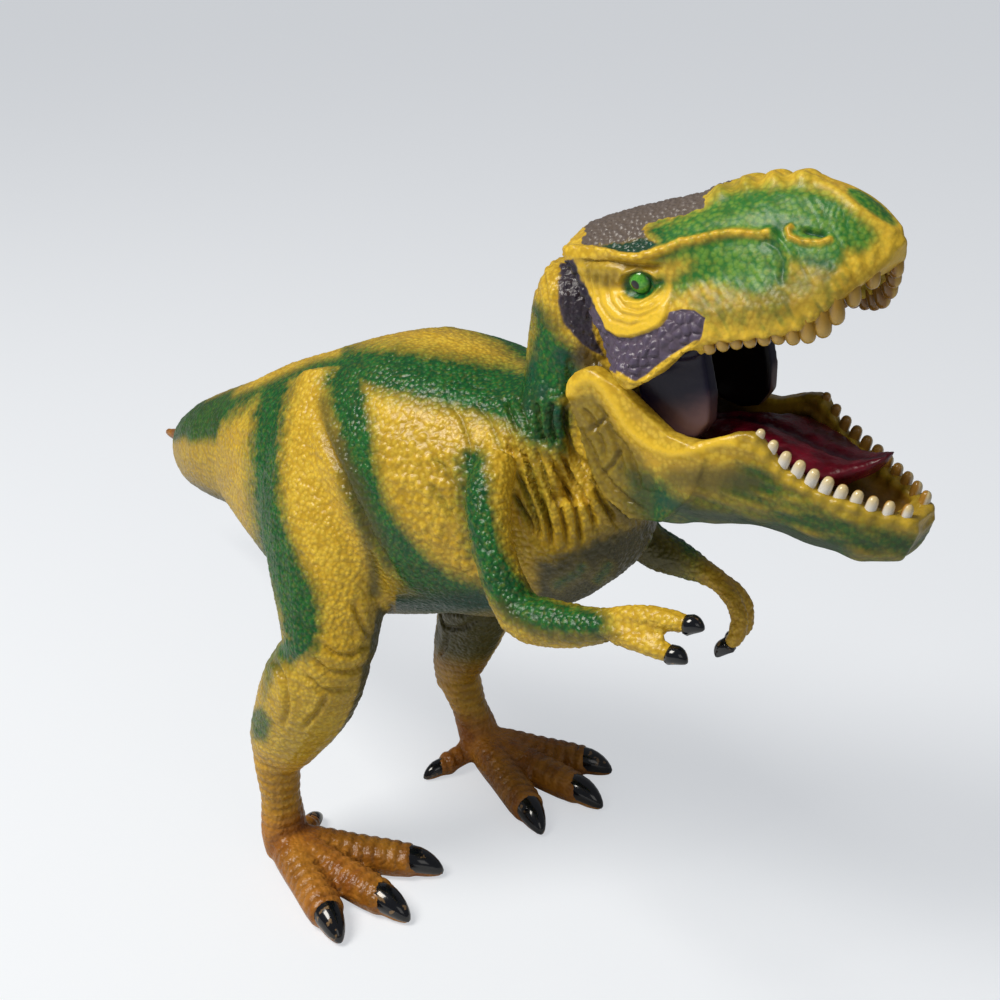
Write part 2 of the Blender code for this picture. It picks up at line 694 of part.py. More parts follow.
def make_head():
    """Skull and neck in one casting, hollow for the mouth lining and bored for the hinge pin."""
    frame = head_frame()
    skull = rail_loft("head_and_neck", head_rails(), frame)
    cut(skull, arch_body("mouth_cavity", 0.0, HEAD_HEIGHT / 2))
    neck = make_neck()
    cut(neck, arch_body("throat_room", CLEARANCE, HEAD_HEIGHT / 2), ear_room(1), ear_room(-1))
    boss_half = Vector((0, NECK_WIDTH / 2, 0))
    hinge = hinge_place()
    mend(skull)
    mend(neck)
    join(skull, neck, cylinder("hinge_boss", hinge - boss_half, hinge + boss_half, BOSS_RADIUS))
    mend(skull)
    lip = rail(LIP_SHARES, HEAD_LENGTH, HEAD_WIDTH, HEAD_HEIGHT, 3)
    teeth = tooth_row(
        "upper_teeth", lip, UPPER_TOOTH_ROW_SHARES, UPPER_TOOTH_SHARES,
        UPPER_TOOTH_RADIUS, UPPER_TOOTH_LENGTH, frame, -1,
    )
    join(skull, teeth)
    bore_half = boss_half + Vector((0, CUT_OVERRUN, 0))
    return cut(skull, cylinder("pin_bore", hinge - bore_half, hinge + bore_half, PIN_RADIUS + CLEARANCE))


def make_lining():
    """The dark mouth lining: an arched palate with a paddle hanging inside each cheek."""
    lining = arch_body("mouth_lining", -CLEARANCE, 0.0)
    cut(lining, arch_body("mouth_room", -CLEARANCE - LINING_THICKNESS, CUT_OVERRUN))
    outline = [Vector((u * PADDLE_LENGTH, w * PADDLE_DEPTH)) for u, w in PADDLE_SHARES]
    outside = ear_inner() - CLEARANCE
    inside = outside - PADDLE_THICKNESS
    for side in (1, -1):
        join(lining, plate("paddle", outline, head_frame(), side * inside, side * outside))
    return lining


def ear_outline():
    """The jaw's ear: a round end about the hinge, then the ramus down into the jaw."""
    points = []
    for i in range(EAR_ARC_STEPS + 1):
        angle = EAR_ARC_START + (EAR_ARC_END - EAR_ARC_START) * i / EAR_ARC_STEPS
        points.append(Vector((EAR_RADIUS * math.cos(angle), EAR_RADIUS * math.sin(angle))))
    points += [Vector((u * JAW_LENGTH, w * JAW_DEPTH)) for u, w in EAR_SHARES]
    return points


def make_jaw():
    """The lower jaw: a scooped beam with an ear on each side of the neck and a row of teeth."""
    frame = jaw_frame()
    sizes = (JAW_LENGTH, JAW_WIDTH, JAW_DEPTH)
    rows = (JAW_LIP_SHARES, JAW_SIDE_SHARES, JAW_UNDER_SHARES, JAW_KEEL_SHARES)
    outer = [rail(row, *sizes, 3) for row in rows]
    top = [Vector((lip.x, 0, lip.z)) for lip in outer[0]]
    jaw = rail_loft("lower_jaw", [top] + rounded(outer, 2, ()), frame)
    inner = ear_inner()
    for side in (1, -1):
        join(jaw, plate("ear", ear_outline(), frame, side * inner, side * (inner + EAR_THICKNESS)))
    floor = []
    for across, up in FLOOR_BOWL_SHARES:
        line = []
        for u, half, low in through(FLOOR_SHARES, 3):
            height = low * JAW_DEPTH + up * FLOOR_CUT_HEIGHT
            line.append(Vector((u * JAW_LENGTH, across * half * JAW_WIDTH / 2, height)))
        floor.append(line)
    above = [Vector((p.x, 0, p.z)) for p in floor[0]]
    cut(jaw, rail_loft("mouth_floor", [above, *floor], frame))
    mend(jaw)
    lip = rail(JAW_LIP_SHARES, *sizes, 3)
    teeth = tooth_row(
        "lower_teeth", lip, LOWER_TOOTH_ROW_SHARES, LOWER_TOOTH_SHARES,
        LOWER_TOOTH_RADIUS, LOWER_TOOTH_LENGTH, frame, 1,
    )
    join(jaw, teeth)
    hinge = hinge_place()
    reach = Vector((0, inner + PIN_SEAT_DEPTH + CLEARANCE, 0))
    return cut(jaw, cylinder("pin_seats", hinge - reach, hinge + reach, PIN_RADIUS + CLEARANCE))


def make_pin():
    """The steel hinge pin, hidden between the ears."""
    hinge = hinge_place()
    reach = Vector((0, ear_inner() + PIN_SEAT_DEPTH, 0))
    return cylinder("jaw_hinge_pin", hinge - reach, hinge + reach, PIN_RADIUS)


def make_tongue():
    """The tongue: thick at its root, grooved at the tip and curled up."""
    frame = jaw_frame()
    rows = through(TONGUE_SHARES, 2)
    rings = []
    for u, half, top, low in rows:
        along = u * TONGUE_LENGTH
        width = half * TONGUE_WIDTH
        centre = Vector((along, 0, (top + low) / 2 * TONGUE_RISE))
        height = (top - low) / 2 * TONGUE_RISE
        ring = oval_ring(centre, Vector((0, 1, 0)), Vector((0, 0, 1)), width, height, LIMB_POINTS, 2.6)
        rings.append([frame @ point for point in ring])
    return loft("tongue", rings)


def leg_places(shares, side):
    """The leg's joints in space. Side is -1 for the right leg."""
    places = {}
    for name, (forward, out, up) in shares.items():
        places[name] = Vector(
            (
                forward * HIP_HEIGHT - HIP_SETBACK,
                side * out * STANCE_WIDTH / 2,
                up * HIP_HEIGHT,
            )
        )
    return places


def segment(name, start, end, shares, width, points, grow=0.0):
    """A tapered tube from start to end."""
    rows = through(shares, 2)
    path = [start.lerp(end, row[0]) for row in rows]
    return tube(name, path, [(row[1] * width, row[2] * width) for row in rows], points, grow)


def thigh_tube(places, grow=0.0):
    """The thigh alone, from the hip seam down past the knee."""
    return segment("thigh", places["hip"], places["knee"], THIGH_SHARES, THIGH_WIDTH, LIMB_POINTS + 4, grow)


def shin_tube(places, shin_share):
    width = SHIN_WIDTH * shin_share
    return segment("shin", places["knee"], places["ankle"], SHIN_SHARES, width, LIMB_POINTS + 2)


def toe(root, turn, length, thick, side):
    """One toe with its claw, lying on the ground."""
    heading = math.radians(turn) * side
    ahead = Vector((math.cos(heading), math.sin(heading), 0))
    end = Vector((root.x, root.y, TOE_THICKNESS * thick * 0.44)) + ahead * (length - CLAW_LENGTH * thick)
    start = Vector((root.x, root.y, TOE_THICKNESS * 0.62))
    tip = end + ahead * CLAW_LENGTH * thick
    tip.z = CLAW_THICKNESS * thick * CLAW_DROP_SHARE
    digit = segment("toe", start, end, TOE_TUBE_SHARES, TOE_THICKNESS * thick, TOE_POINTS)
    return join(digit, segment("claw", end, tip, CLAW_TUBE_SHARES, CLAW_THICKNESS * thick, TOE_POINTS))


def make_leg(name, shares, side, shin_share):
    """Thigh, shin, upright foot bone, three toes forward and one small toe on the inner side."""
    places = leg_places(shares, side)
    root = places["root"]
    leg = thigh_tube(places)
    leg.name = name
    join(leg, shin_tube(places, shin_share))
    join(leg, segment("metatarsus", places["heel"], root, METATARSUS_SHARES, SHIN_WIDTH, LIMB_POINTS))
    for turn, share in TOE_SHARES:
        join(leg, toe(root, turn, share * FOOT_LENGTH, 1.0, side))
    join(leg, toe(root, HALLUX_TURN, HALLUX_LENGTH, HALLUX_SHARE, side))
    reach = TORSO_WIDTH * 2
    inner = sorted((0.0, side * HIP_SEAM))
    trim = box_between("hip_trim", (-reach * 2, inner[0], 0), (reach * 2, inner[1], BACK_HEIGHT * 2))
    under = box_between("sole_trim", (-reach * 2, -reach, -reach), (reach * 2, reach, SOLE_FLAT))
    cut(leg, trim, under)
    leg.data.transform(Matrix.Translation((0, 0, -SOLE_FLAT)))
    return leg


def hip_pocket(shares, side):
    """The space that the thigh and its clearance take out of the torso."""
    pocket = thigh_tube(leg_places(shares, side), CLEARANCE)
    reach = TORSO_WIDTH * 2
    inner = sorted((0.0, side * (HIP_SEAM - CLEARANCE)))
    cut(pocket, box_between("pocket_trim", (-reach * 2, inner[0], 0), (reach * 2, inner[1], BACK_HEIGHT * 2)))
    pocket.data.transform(Matrix.Translation((0, 0, -SOLE_FLAT)))
    return pocket


def shoulder_place(side):
    forward = SHOULDER_ALONG_SHARE * TORSO_SPAN - RUMP_SETBACK
    return Vector((forward, side * SHOULDER_WIDTH / 2, SHOULDER_HEIGHT))


def arm_tube(shares, side, grow=0.0):
    """Upper arm, elbow and forearm."""
    shoulder = shoulder_place(side)
    rows = through([(*place, half) for place, half in shares], 2)
    path = [shoulder + Vector((x, side * y, z)) * ARM_REACH for x, y, z, _ in rows]
    sizes = [(row[3] * ARM_THICKNESS, row[3] * ARM_THICKNESS) for row in rows]
    return tube("arm", path, sizes, LIMB_POINTS, grow)


def make_arm(name, shares, fingers, side):
    """An arm with two clawed fingers."""
    arm = arm_tube(shares, side)
    arm.name = name
    x, y, z = shares[-1][0]
    wrist = shoulder_place(side) + Vector((x, side * y, z)) * ARM_REACH
    half = FINGER_THICKNESS / 2
    for finger in fingers:
        points = [wrist + Vector((a, side * b, c)) * HAND_LENGTH for a, b, c in finger]
        path = through(points[:-1], 2)
        digit = tube("finger", path, [(half, half)] * len(path), TOE_POINTS)
        join(digit, segment("claw", points[-2], points[-1], CLAW_TUBE_SHARES, FINGER_THICKNESS, TOE_POINTS))
        join(arm, digit)
    return arm


def set_down(bodies):
    """Moves the figure so that the middle of its outline on the ground is at the origin."""
    corners = [point for body in bodies for point in (vert.co for vert in body.data.vertices)]
    low = [min(point[axis] for point in corners) for axis in range(3)]
    high = [max(point[axis] for point in corners) for axis in range(3)]
    shift = Vector((-(low[0] + high[0]) / 2, -(low[1] + high[1]) / 2, -low[2]))
    for body in bodies:
        body.data.transform(Matrix.Translation(shift))
    return shift


def hang_on_hinge(body, hinge):
    """Puts a moving piece's origin on the hinge axis, with its shape where it was."""
    body.data.transform(Matrix.Translation(-hinge))
    body.location = hinge


def main():
    clear_scene()
    figure = bpy.data.collections.new(COLLECTION_NAME)
    bpy.context.scene.collection.children.link(figure)
    right, left = -1, 1
    torso = make_torso()
    cut(torso, tail_socket(), neck_socket())
    cut(torso, hip_pocket(RIGHT_LEG_SHARES, right), hip_pocket(LEFT_LEG_SHARES, left))
    cut(torso, arm_tube(RIGHT_ARM_SHARES, right, CLEARANCE), arm_tube(LEFT_ARM_SHARES, left, CLEARANCE))
    jaw = make_jaw()
    tongue = make_tongue()
    pieces = [
        (torso, VINYL_YELLOW, 0.4, 0.0),
        (make_tail(), VINYL_YELLOW, 0.4, 0.0),
        (make_head(), VINYL_YELLOW, 0.4, 0.0),
        (make_lining(), VINYL_DARK, 0.3, 0.0),
        (jaw, VINYL_YELLOW, 0.4, 0.0),
        (tongue, VINYL_MAROON, 0.2, 0.0),
        (make_pin(), PIN_STEEL, 0.3, 1.0),
        (make_leg("right_leg", RIGHT_LEG_SHARES, right, 1.0), VINYL_BROWN, 0.35, 0.0),
        (make_leg("left_leg", LEFT_LEG_SHARES, left, LEFT_SHIN_SHARE), VINYL_BROWN, 0.35, 0.0),
        (make_arm("right_arm", RIGHT_ARM_SHARES, RIGHT_FINGER_SHARES, right), VINYL_GREEN, 0.4, 0.0),
        (make_arm("left_arm", LEFT_ARM_SHARES, LEFT_FINGER_SHARES, left), VINYL_GREEN, 0.4, 0.0),
    ]
    for body, colour, roughness, metallic in pieces:
        body.data.materials.clear()
        body.data.materials.append(painted(body.name + "_finish", colour, roughness, metallic))
        for holder in list(body.users_collection):
            holder.objects.unlink(body)
        figure.objects.link(body)
    shift = set_down([piece[0] for piece in pieces])
    for body in (jaw, tongue):
        hang_on_hinge(body, hinge_place() + shift)


main()
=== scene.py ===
import json
import math
from itertools import product

import bmesh
import bpy
import numpy as np
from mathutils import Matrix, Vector
from mathutils.bvhtree import BVHTree


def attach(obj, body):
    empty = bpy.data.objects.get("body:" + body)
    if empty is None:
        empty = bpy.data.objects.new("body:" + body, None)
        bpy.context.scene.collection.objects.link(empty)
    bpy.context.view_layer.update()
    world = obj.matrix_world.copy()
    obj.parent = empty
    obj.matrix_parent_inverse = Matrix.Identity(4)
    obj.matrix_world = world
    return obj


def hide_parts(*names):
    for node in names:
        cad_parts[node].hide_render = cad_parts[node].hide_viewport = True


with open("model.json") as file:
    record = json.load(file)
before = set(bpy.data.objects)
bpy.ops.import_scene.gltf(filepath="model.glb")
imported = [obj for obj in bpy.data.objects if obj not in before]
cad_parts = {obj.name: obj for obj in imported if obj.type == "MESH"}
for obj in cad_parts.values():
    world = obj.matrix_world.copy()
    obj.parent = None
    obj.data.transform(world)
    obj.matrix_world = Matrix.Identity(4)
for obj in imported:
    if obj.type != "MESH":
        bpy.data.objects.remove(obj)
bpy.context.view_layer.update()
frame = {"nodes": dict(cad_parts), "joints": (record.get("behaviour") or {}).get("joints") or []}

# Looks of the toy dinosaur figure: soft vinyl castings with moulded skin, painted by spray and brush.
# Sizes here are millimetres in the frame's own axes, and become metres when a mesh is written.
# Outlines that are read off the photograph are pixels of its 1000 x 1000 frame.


# Camera, floor and lights
# A small product set: a pale seamless floor, one large soft lamp above, and a weaker one at the front.

MM = 0.001
HINGE = np.array(frame["joints"][0]["pos_m"]) / MM
CAMERA_FROM_HINGE = (127.7, -200.7, 78.0)
CAMERA_AROUND = math.radians(38)
CAMERA_DOWN = math.radians(23)
CAMERA_LENS = 54.0
CAMERA_SENSOR = 36.0
PHOTO_SIZE = 1000.0

eye_point = HINGE + np.array(CAMERA_FROM_HINGE)
look = np.array(
    (
        -math.sin(CAMERA_AROUND) * math.cos(CAMERA_DOWN),
        math.cos(CAMERA_AROUND) * math.cos(CAMERA_DOWN),
        -math.sin(CAMERA_DOWN),
    )
)
look_right = np.array((math.cos(CAMERA_AROUND), math.sin(CAMERA_AROUND), 0.0))
look_up = np.cross(look_right, look)

camera = bpy.data.objects.new("camera", bpy.data.cameras.new("camera"))
bpy.context.scene.collection.objects.link(camera)
camera.data.sensor_width = CAMERA_SENSOR
camera.data.lens = CAMERA_LENS
camera.data.clip_start = 0.01
camera.location = Vector(eye_point * MM)
camera.rotation_mode = "QUATERNION"
camera.rotation_quaternion = Vector(look).to_track_quat("-Z", "Y")
bpy.context.scene.camera = camera
bpy.context.scene.view_settings.view_transform = "Standard"


def colour_of(red, green, blue):
    """A colour as a display shows it, 0 to 255, turned into the linear colour that a shader takes."""
    linear = []
    for part in (red, green, blue):
        part /= 255
        linear.append(part / 12.92 if part <= 0.04045 else ((part + 0.055) / 1.055) ** 2.4)
    return (*linear, 1.0)


def made(tree, kind, settings=None, **values):
    """A node with its settings. A value that is another node's socket is linked to the input of that name."""
    node = tree.nodes.new("ShaderNode" + kind)
    for key, value in (settings or {}).items():
        setattr(node, key, value)
    for key, value in values.items():
        socket = node.inputs[key.replace("_", " ")]
        if isinstance(value, bpy.types.NodeSocket):
            tree.links.new(value, socket)
        else:
            socket.default_value = value
    return node


def mixed(tree, share, one, other):
    """The colour between two colours. Each may be a colour or a socket."""
    node = made(tree, "Mix", {"data_type": "RGBA"})
    for socket, value in ((node.inputs[0], share), (node.inputs[6], one), (node.inputs[7], other)):
        if isinstance(value, bpy.types.NodeSocket):
            tree.links.new(value, socket)
        else:
            socket.default_value = value
    return node.outputs[2]


def mathed(tree, operation, one, other=0.0, third=None):
    """One Math node."""
    node = made(tree, "Math", {"operation": operation})
    for socket, value in zip(node.inputs, (one, other, third)):
        if isinstance(value, bpy.types.NodeSocket):
            tree.links.new(value, socket)
        elif value is not None:
            socket.default_value = value
    return node.outputs[0]


FLOOR_HALF = 3.0
FLOOR_SHADE = colour_of(222, 225, 229)
FLOOR_SEEN = colour_of(172, 175, 180)
FLOOR_LIFT = 0.72
FLOOR_ROUGHNESS = 0.6
BACKDROP_SHADE = colour_of(232, 235, 240)
SURROUND_SHADE = colour_of(226, 230, 238)
SURROUND_STRENGTH = 0.18

floor_mesh = bpy.data.meshes.new("floor")
corners = [(x * FLOOR_HALF, y * FLOOR_HALF, 0.0) for x, y in ((-1, -1), (1, -1), (1, 1), (-1, 1))]
floor_mesh.from_pydata(corners, [], [(0, 1, 2, 3)])
floor = bpy.data.objects.new("floor", floor_mesh)
bpy.context.scene.collection.objects.link(floor)
floor_finish = bpy.data.materials.new("pale_floor")
floor_finish.use_nodes = True
tree = floor_finish.node_tree
shader = tree.nodes["Principled BSDF"]
shader.inputs["Roughness"].default_value = FLOOR_ROUGHNESS
shader.inputs["Emission Color"].default_value = FLOOR_SHADE
seen = made(tree, "LightPath").outputs["Is Camera Ray"]
tree.links.new(mathed(tree, "MULTIPLY", seen, FLOOR_LIFT), shader.inputs["Emission Strength"])
tree.links.new(mixed(tree, seen, FLOOR_SHADE, FLOOR_SEEN), shader.inputs["Base Color"])
floor_mesh.materials.append(floor_finish)

world = bpy.data.worlds.new("studio")
bpy.context.scene.world = world
world.use_nodes = True
tree = world.node_tree
surround = tree.nodes["Background"]
surround.inputs["Color"].default_value = SURROUND_SHADE
surround.inputs["Strength"].default_value = SURROUND_STRENGTH
shown = made(tree, "Background", Color=BACKDROP_SHADE)
choose = made(tree, "MixShader", Fac=made(tree, "LightPath").outputs["Is Camera Ray"])
tree.links.new(surround.outputs["Background"], choose.inputs[1])
tree.links.new(shown.outputs["Background"], choose.inputs[2])
tree.links.new(choose.outputs["Shader"], tree.nodes["World Output"].inputs["Surface"])


def lamp(name, place, aim, power, size, tint):
    """A square soft lamp that points at a spot on the figure."""
    light = bpy.data.objects.new(name, bpy.data.lights.new(name, "AREA"))
    bpy.context.scene.collection.objects.link(light)
    light.data.energy = power
    light.data.size = size
    light.data.color = tint
    light.location = place
    light.rotation_mode = "QUATERNION"
    light.rotation_quaternion = (Vector(aim) - Vector(place)).to_track_quat("-Z", "Y")


lamp("key_lamp", place=(-0.16, -0.42, 0.70), aim=(0.0, 0.0, 0.08), power=5.9, size=0.36,
     tint=(1.0, 0.96, 0.88))
lamp("front_lamp", place=(0.75, -0.35, 0.40), aim=(0.02, 0.0, 0.08), power=0.35, size=0.35,
     tint=(1.0, 0.97, 0.92))


# Skin of the glued castings
# Torso, tail, neck and head, legs and arms are cast apart in soft vinyl and glued at plugs and sockets, so
# the moulded skin runs on across their seams. It is made as one skin here and parted at the seams at the end.

SKIN_CASTINGS = ("torso", "tail", "head_and_neck", "right_leg", "left_leg", "right_arm", "left_arm")
SKIN_VOXEL = 0.44
SEAM_BRIDGE = 0.32
HEAD_PITCH = math.radians(18)
# The upper lip in the head's own frame: forward from the hinge, half width, up from the hinge
UPPER_LIP = ((5.0, 13.8, 7.0), (10.0, 15.0, 4.0), (18.8, 15.7, 0.5), (24.0, 15.4, 6.25), (30.5, 14.6, 6.25),
             (38.0, 13.0, 6.25), (44.3, 9.6, 9.5), (48.5, 3.5, 12.0))
TEETH_BEGIN = 22.0
UPPER_GUM = 0.9
GUM_STEP = 0.5
GUM_FADE = 2.5
FLAP_BACK = 3.0
FLAP_TOP = 8.5
FLAP_FADE = 3.5
# Where the skull ends and the neck begins: forward and up from the hinge, and how far it leans forward
SKULL_BACK = -1.5
SKULL_TOP = 26.0
SKULL_LEAN = 0.26
# The skin is finer on the head: ahead of a line that leans forward a little less, and above a level
FINE_LEAN = 0.2
FINE_LEVEL = -0.5
# Forward, then how far the low edge of the cheek flap moves there: forward, up and outwards
FLAP_PULL = ((3.0, 0.0, 0.0, 0.0), (5.0, -0.8, -1.2, 0.6), (10.0, -3.0, -1.1, 1.5), (18.8, -8.4, 0.3, 2.2),
             (21.5, -4.5, 0.4, 0.6), (24.0, -0.6, 0.2, 0.0), (26.0, 0.0, 0.0, 0.0))
# The lip as the flap and the gums leave it: forward from the hinge, up from the hinge
SKIN_LIP = ((1.6, 7.4), (4.3, 4.6), (8.1, 1.0), (10.4, 0.1), (14.3, 1.6), (23.0, 5.0), (30.5, 4.6),
            (38.0, 4.6), (44.3, 7.8), (48.5, 10.4))


def pitched_axes(pitch):
    """The forward and upward directions of a frame that is pitched up about the hinge."""
    return np.array((math.cos(pitch), 0, math.sin(pitch))), np.array((-math.sin(pitch), 0, math.cos(pitch)))


def pitched(points, pitch=HEAD_PITCH):
    """Points in the pitched frame of the head or the jaw: forward from the hinge, sideways, up from it."""
    forward, upward = pitched_axes(pitch)
    away = points - HINGE
    return np.stack((away @ forward, away[:, 1], away @ upward), axis=1)


def unpitched(places, pitch=HEAD_PITCH):
    """The frame's own points for points given in the pitched frame."""
    forward, upward = pitched_axes(pitch)
    places = np.asarray(places, float)
    return HINGE + places @ np.array((forward, (0, 1, 0), upward))


def mesh_points(mesh):
    """A mesh's vertices as millimetres."""
    points = np.empty(len(mesh.vertices) * 3)
    mesh.vertices.foreach_get("co", points)
    return points.reshape(-1, 3) / MM


def set_points(mesh, points):
    """Moves a mesh's vertices to these points."""
    mesh.vertices.foreach_set("co", (points * MM).ravel())
    mesh.update()


def mesh_normals(mesh):
    """The facing of each vertex."""
    normals = np.empty(len(mesh.vertices) * 3)
    mesh.vertex_normals.foreach_get("vector", normals)
    return normals.reshape(-1, 3)


def mesh_edges(mesh):
    """The two vertices of each edge."""
    edges = np.empty(len(mesh.edges) * 2, int)
    mesh.edges.foreach_get("vertices", edges)
    return edges.reshape(-1, 2)


def relaxed(values, edges, times, share=0.5):
    """Values, one row a vertex, each drawn towards the mean of its neighbours. share may be one for each."""
    count = len(values)
    one, other = edges.T
    neighbours = np.maximum(np.bincount(one, minlength=count) + np.bincount(other, minlength=count), 1)
    share = np.broadcast_to(np.asarray(share, float), (count,))
    flat = values.ndim == 1
    values = values.reshape(count, -1).astype(float)
    for _ in range(times):
        for axis in range(values.shape[1]):
            column = values[:, axis]
            around = np.bincount(one, weights=column[other], minlength=count)
            around += np.bincount(other, weights=column[one], minlength=count)
            values[:, axis] = column + share * (around / neighbours - column)
    return values[:, 0] if flat else values


def node_copy(names, grow, change=None):
    """One mesh of these CAD nodes, each grown all round, so that the glued joints close up."""
    mesh = bmesh.new()
    for name in names:
        single = bmesh.new()
        single.from_mesh(frame["nodes"][name].data)
        bmesh.ops.remove_doubles(single, verts=single.verts, dist=0.00001)
        bmesh.ops.recalc_face_normals(single, faces=single.faces)
        single.normal_update()
        moves = [vert.normal.copy() * (grow * MM) for vert in single.verts]
        for vert, move in zip(single.verts, moves):
            vert.co += move
        data = bpy.data.meshes.new(name)
        single.to_mesh(data)
        single.free()
        if change and name in change:
            set_points(data, change[name](mesh_points(data)))
        mesh.from_mesh(data)
        bpy.data.meshes.remove(data)
    data = bpy.data.meshes.new("copy")
    mesh.to_mesh(data)
    mesh.free()
    return data


def remeshed(name, data, voxel):
    """A piece with an even skin of small faces over the given mesh."""
    piece = bpy.data.objects.new(name, data)
    bpy.context.scene.collection.objects.link(piece)
    modifier = piece.modifiers.new("even_skin", "REMESH")
    modifier.mode = "VOXEL"
    modifier.voxel_size = voxel * MM
    graph = bpy.context.evaluated_depsgraph_get()
    result = bpy.data.meshes.new_from_object(piece.evaluated_get(graph))
    piece.modifiers.clear()
    piece.data = result
    result.polygons.foreach_set("use_smooth", [True] * len(result.polygons))
    return piece


def moulded_lip(points):
    """The CAD head, cheek flaps drawn back and teeth cut down to gums. Smoother teeth are set later."""
    lip = np.array(UPPER_LIP)
    places = pitched(points)
    low = np.clip((FLAP_TOP - places[:, 2]) / FLAP_FADE, 0, 1) * (places[:, 0] > FLAP_BACK)
    flap = np.array(FLAP_PULL)
    back, up, out = (low * np.interp(places[:, 0], flap[:, 0], flap[:, i]) for i in (1, 2, 3))
    places += np.stack((back, out * np.sign(places[:, 1]), up), axis=1)
    edge = np.interp(places[:, 0], lip[:, 0], lip[:, 2])
    front = (places[:, 0] > TEETH_BEGIN).astype(float)
    places[:, 2] -= UPPER_GUM * front * (1 - np.clip((places[:, 2] - edge) / GUM_FADE, 0, 1))
    gum = edge - UPPER_GUM - GUM_STEP
    tooth = (front > 0) & (places[:, 2] < gum)
    places[tooth, 2] = gum[tooth]
    return unpitched(places)


def refined(piece, chosen):
    """Splits each face between chosen vertices into four."""
    mesh = bmesh.new()
    mesh.from_mesh(piece.data)
    cut = [edge for edge in mesh.edges if chosen[edge.verts[0].index] and chosen[edge.verts[1].index]]
    bmesh.ops.subdivide_edges(mesh, edges=cut, cuts=1, use_grid_fill=True)
    mesh.to_mesh(piece.data)
    mesh.free()
    piece.data.polygons.foreach_set("use_smooth", [True] * len(piece.data.polygons))


skin = remeshed("skin", node_copy(SKIN_CASTINGS, SEAM_BRIDGE, {"head_and_neck": moulded_lip}), SKIN_VOXEL)
points = relaxed(mesh_points(skin.data), mesh_edges(skin.data), 4)
set_points(skin.data, points)
points -= mesh_normals(skin.data) * SEAM_BRIDGE
set_points(skin.data, points)
places = pitched(points)
fine = places[:, 0] > SKULL_BACK + (SKULL_TOP - places[:, 2]) * FINE_LEAN
refined(skin, fine & (places[:, 2] > FINE_LEVEL))
points = mesh_points(skin.data)
edges = mesh_edges(skin.data)
points = relaxed(points, edges, 2)
set_points(skin.data, points)

# Which casting each point of the skin belongs to
casting_faces, casting_points, casting_index = [], [], []
for index, name in enumerate(SKIN_CASTINGS):
    data = frame["nodes"][name].data
    offset = len(casting_points)
    casting_points += [vert.co.copy() for vert in data.vertices]
    casting_faces += [[offset + i for i in face.vertices] for face in data.polygons]
    casting_index += [index] * len(data.polygons)
casting_tree = BVHTree.FromPolygons(casting_points, casting_faces)
casting = np.array([casting_index[casting_tree.find_nearest(vert.co)[2]] for vert in skin.data.vertices])
ON = {name: casting == index for index, name in enumerate(SKIN_CASTINGS)}
places = pitched(points)
lip = np.array(SKIN_LIP)
skull_edge = np.interp(places[:, 0], lip[:, 0], lip[:, 1]) - 0.8
ahead_of_neck = places[:, 0] > SKULL_BACK + (SKULL_TOP - places[:, 2]) * SKULL_LEAN
ON["skull"] = ON["head_and_neck"] & ahead_of_neck & (places[:, 2] > skull_edge)
ON["neck"] = ON["head_and_neck"] & ~ON["skull"]
SOFT = {name: relaxed(here.astype(float), edges, 12) for name, here in ON.items()}

# The hips, shoulders, tail and neck flow into the body
joined = SOFT["right_leg"] + SOFT["left_leg"] + SOFT["tail"] + SOFT["neck"]
blend = np.minimum(1, 4 * SOFT["torso"] * joined)
blend = relaxed(blend, edges, 10)
points = relaxed(points, edges, 40, 0.5 * np.clip(blend * 1.6, 0, 1))
set_points(skin.data, points)
normals = mesh_normals(skin.data)
LEG_SHIFT = ((0, 7.9), (6, 7.9), (24, 3.0), (53, 0.4), (90, 0.0))


def photo_pixels(points):
    """Where points show in the photograph's frame."""
    away = points - eye_point
    scale = PHOTO_SIZE * CAMERA_LENS / CAMERA_SENSOR / (away @ look)
    return PHOTO_SIZE / 2 + scale[:, None] * np.stack((away @ look_right, -(away @ look_up)), axis=1)


def right_twin(points, leg=0.0):
    """The matching points on the right side, which the photograph shows. leg is how much is left leg."""
    twin = points.copy()
    twin[:, 1] = HINGE[1] - np.abs(points[:, 1] - HINGE[1])
    shift = np.array(LEG_SHIFT)
    twin[:, 0] -= leg * np.interp(points[:, 2], shift[:, 0], shift[:, 1])
    return twin


spots = photo_pixels(right_twin(points, np.clip(SOFT["left_leg"] * 2, 0, 1)))
relief = np.zeros(len(points))
PAINTS = ("green", "teal", "olive", "brown", "grey", "purple", "bright", "black", "hollow", "grain", "snout")
paint = {name: np.zeros(len(points)) for name in PAINTS}


def step(values, low, high):
    """0 below low and 1 above high, with a soft curve between them."""
    share = np.clip((values - low) / (high - low), 0, 1)
    return share * share * (3 - 2 * share)


def near_route(spots, route):
    """Distance of each spot to a route, and how far along the route its nearest point lies, 0 to 1."""
    route = np.array(route, float)
    gap = np.full(len(spots), 1000.0)
    share = np.zeros(len(spots))
    near = np.all((spots > route.min(axis=0) - 70) & (spots < route.max(axis=0) + 70), axis=1)
    some = spots[near]
    least = gap[near]
    along = share[near]
    lengths = np.linalg.norm(np.diff(route, axis=0), axis=1)
    start = 0.0
    for one, other, length in zip(route, route[1:], lengths):
        run = other - one
        part = np.clip(((some - one) @ run) / (run @ run), 0, 1)
        off = np.linalg.norm(some - one - part[:, None] * run, axis=1)
        closer = off < least
        least[closer] = off[closer]
        along[closer] = start + part[closer] * length
        start += length
    gap[near] = least
    share[near] = along / start
    return gap, share


def band(spots, route, half, soft):
    """1 on a painted band, fading out over its soft edge. half is half its width, at even steps along it."""
    gap, share = near_route(spots, route)
    half = np.interp(share, np.linspace(0, 1, len(half)), half)
    return 1 - step(gap, half - soft / 2, half + soft / 2)


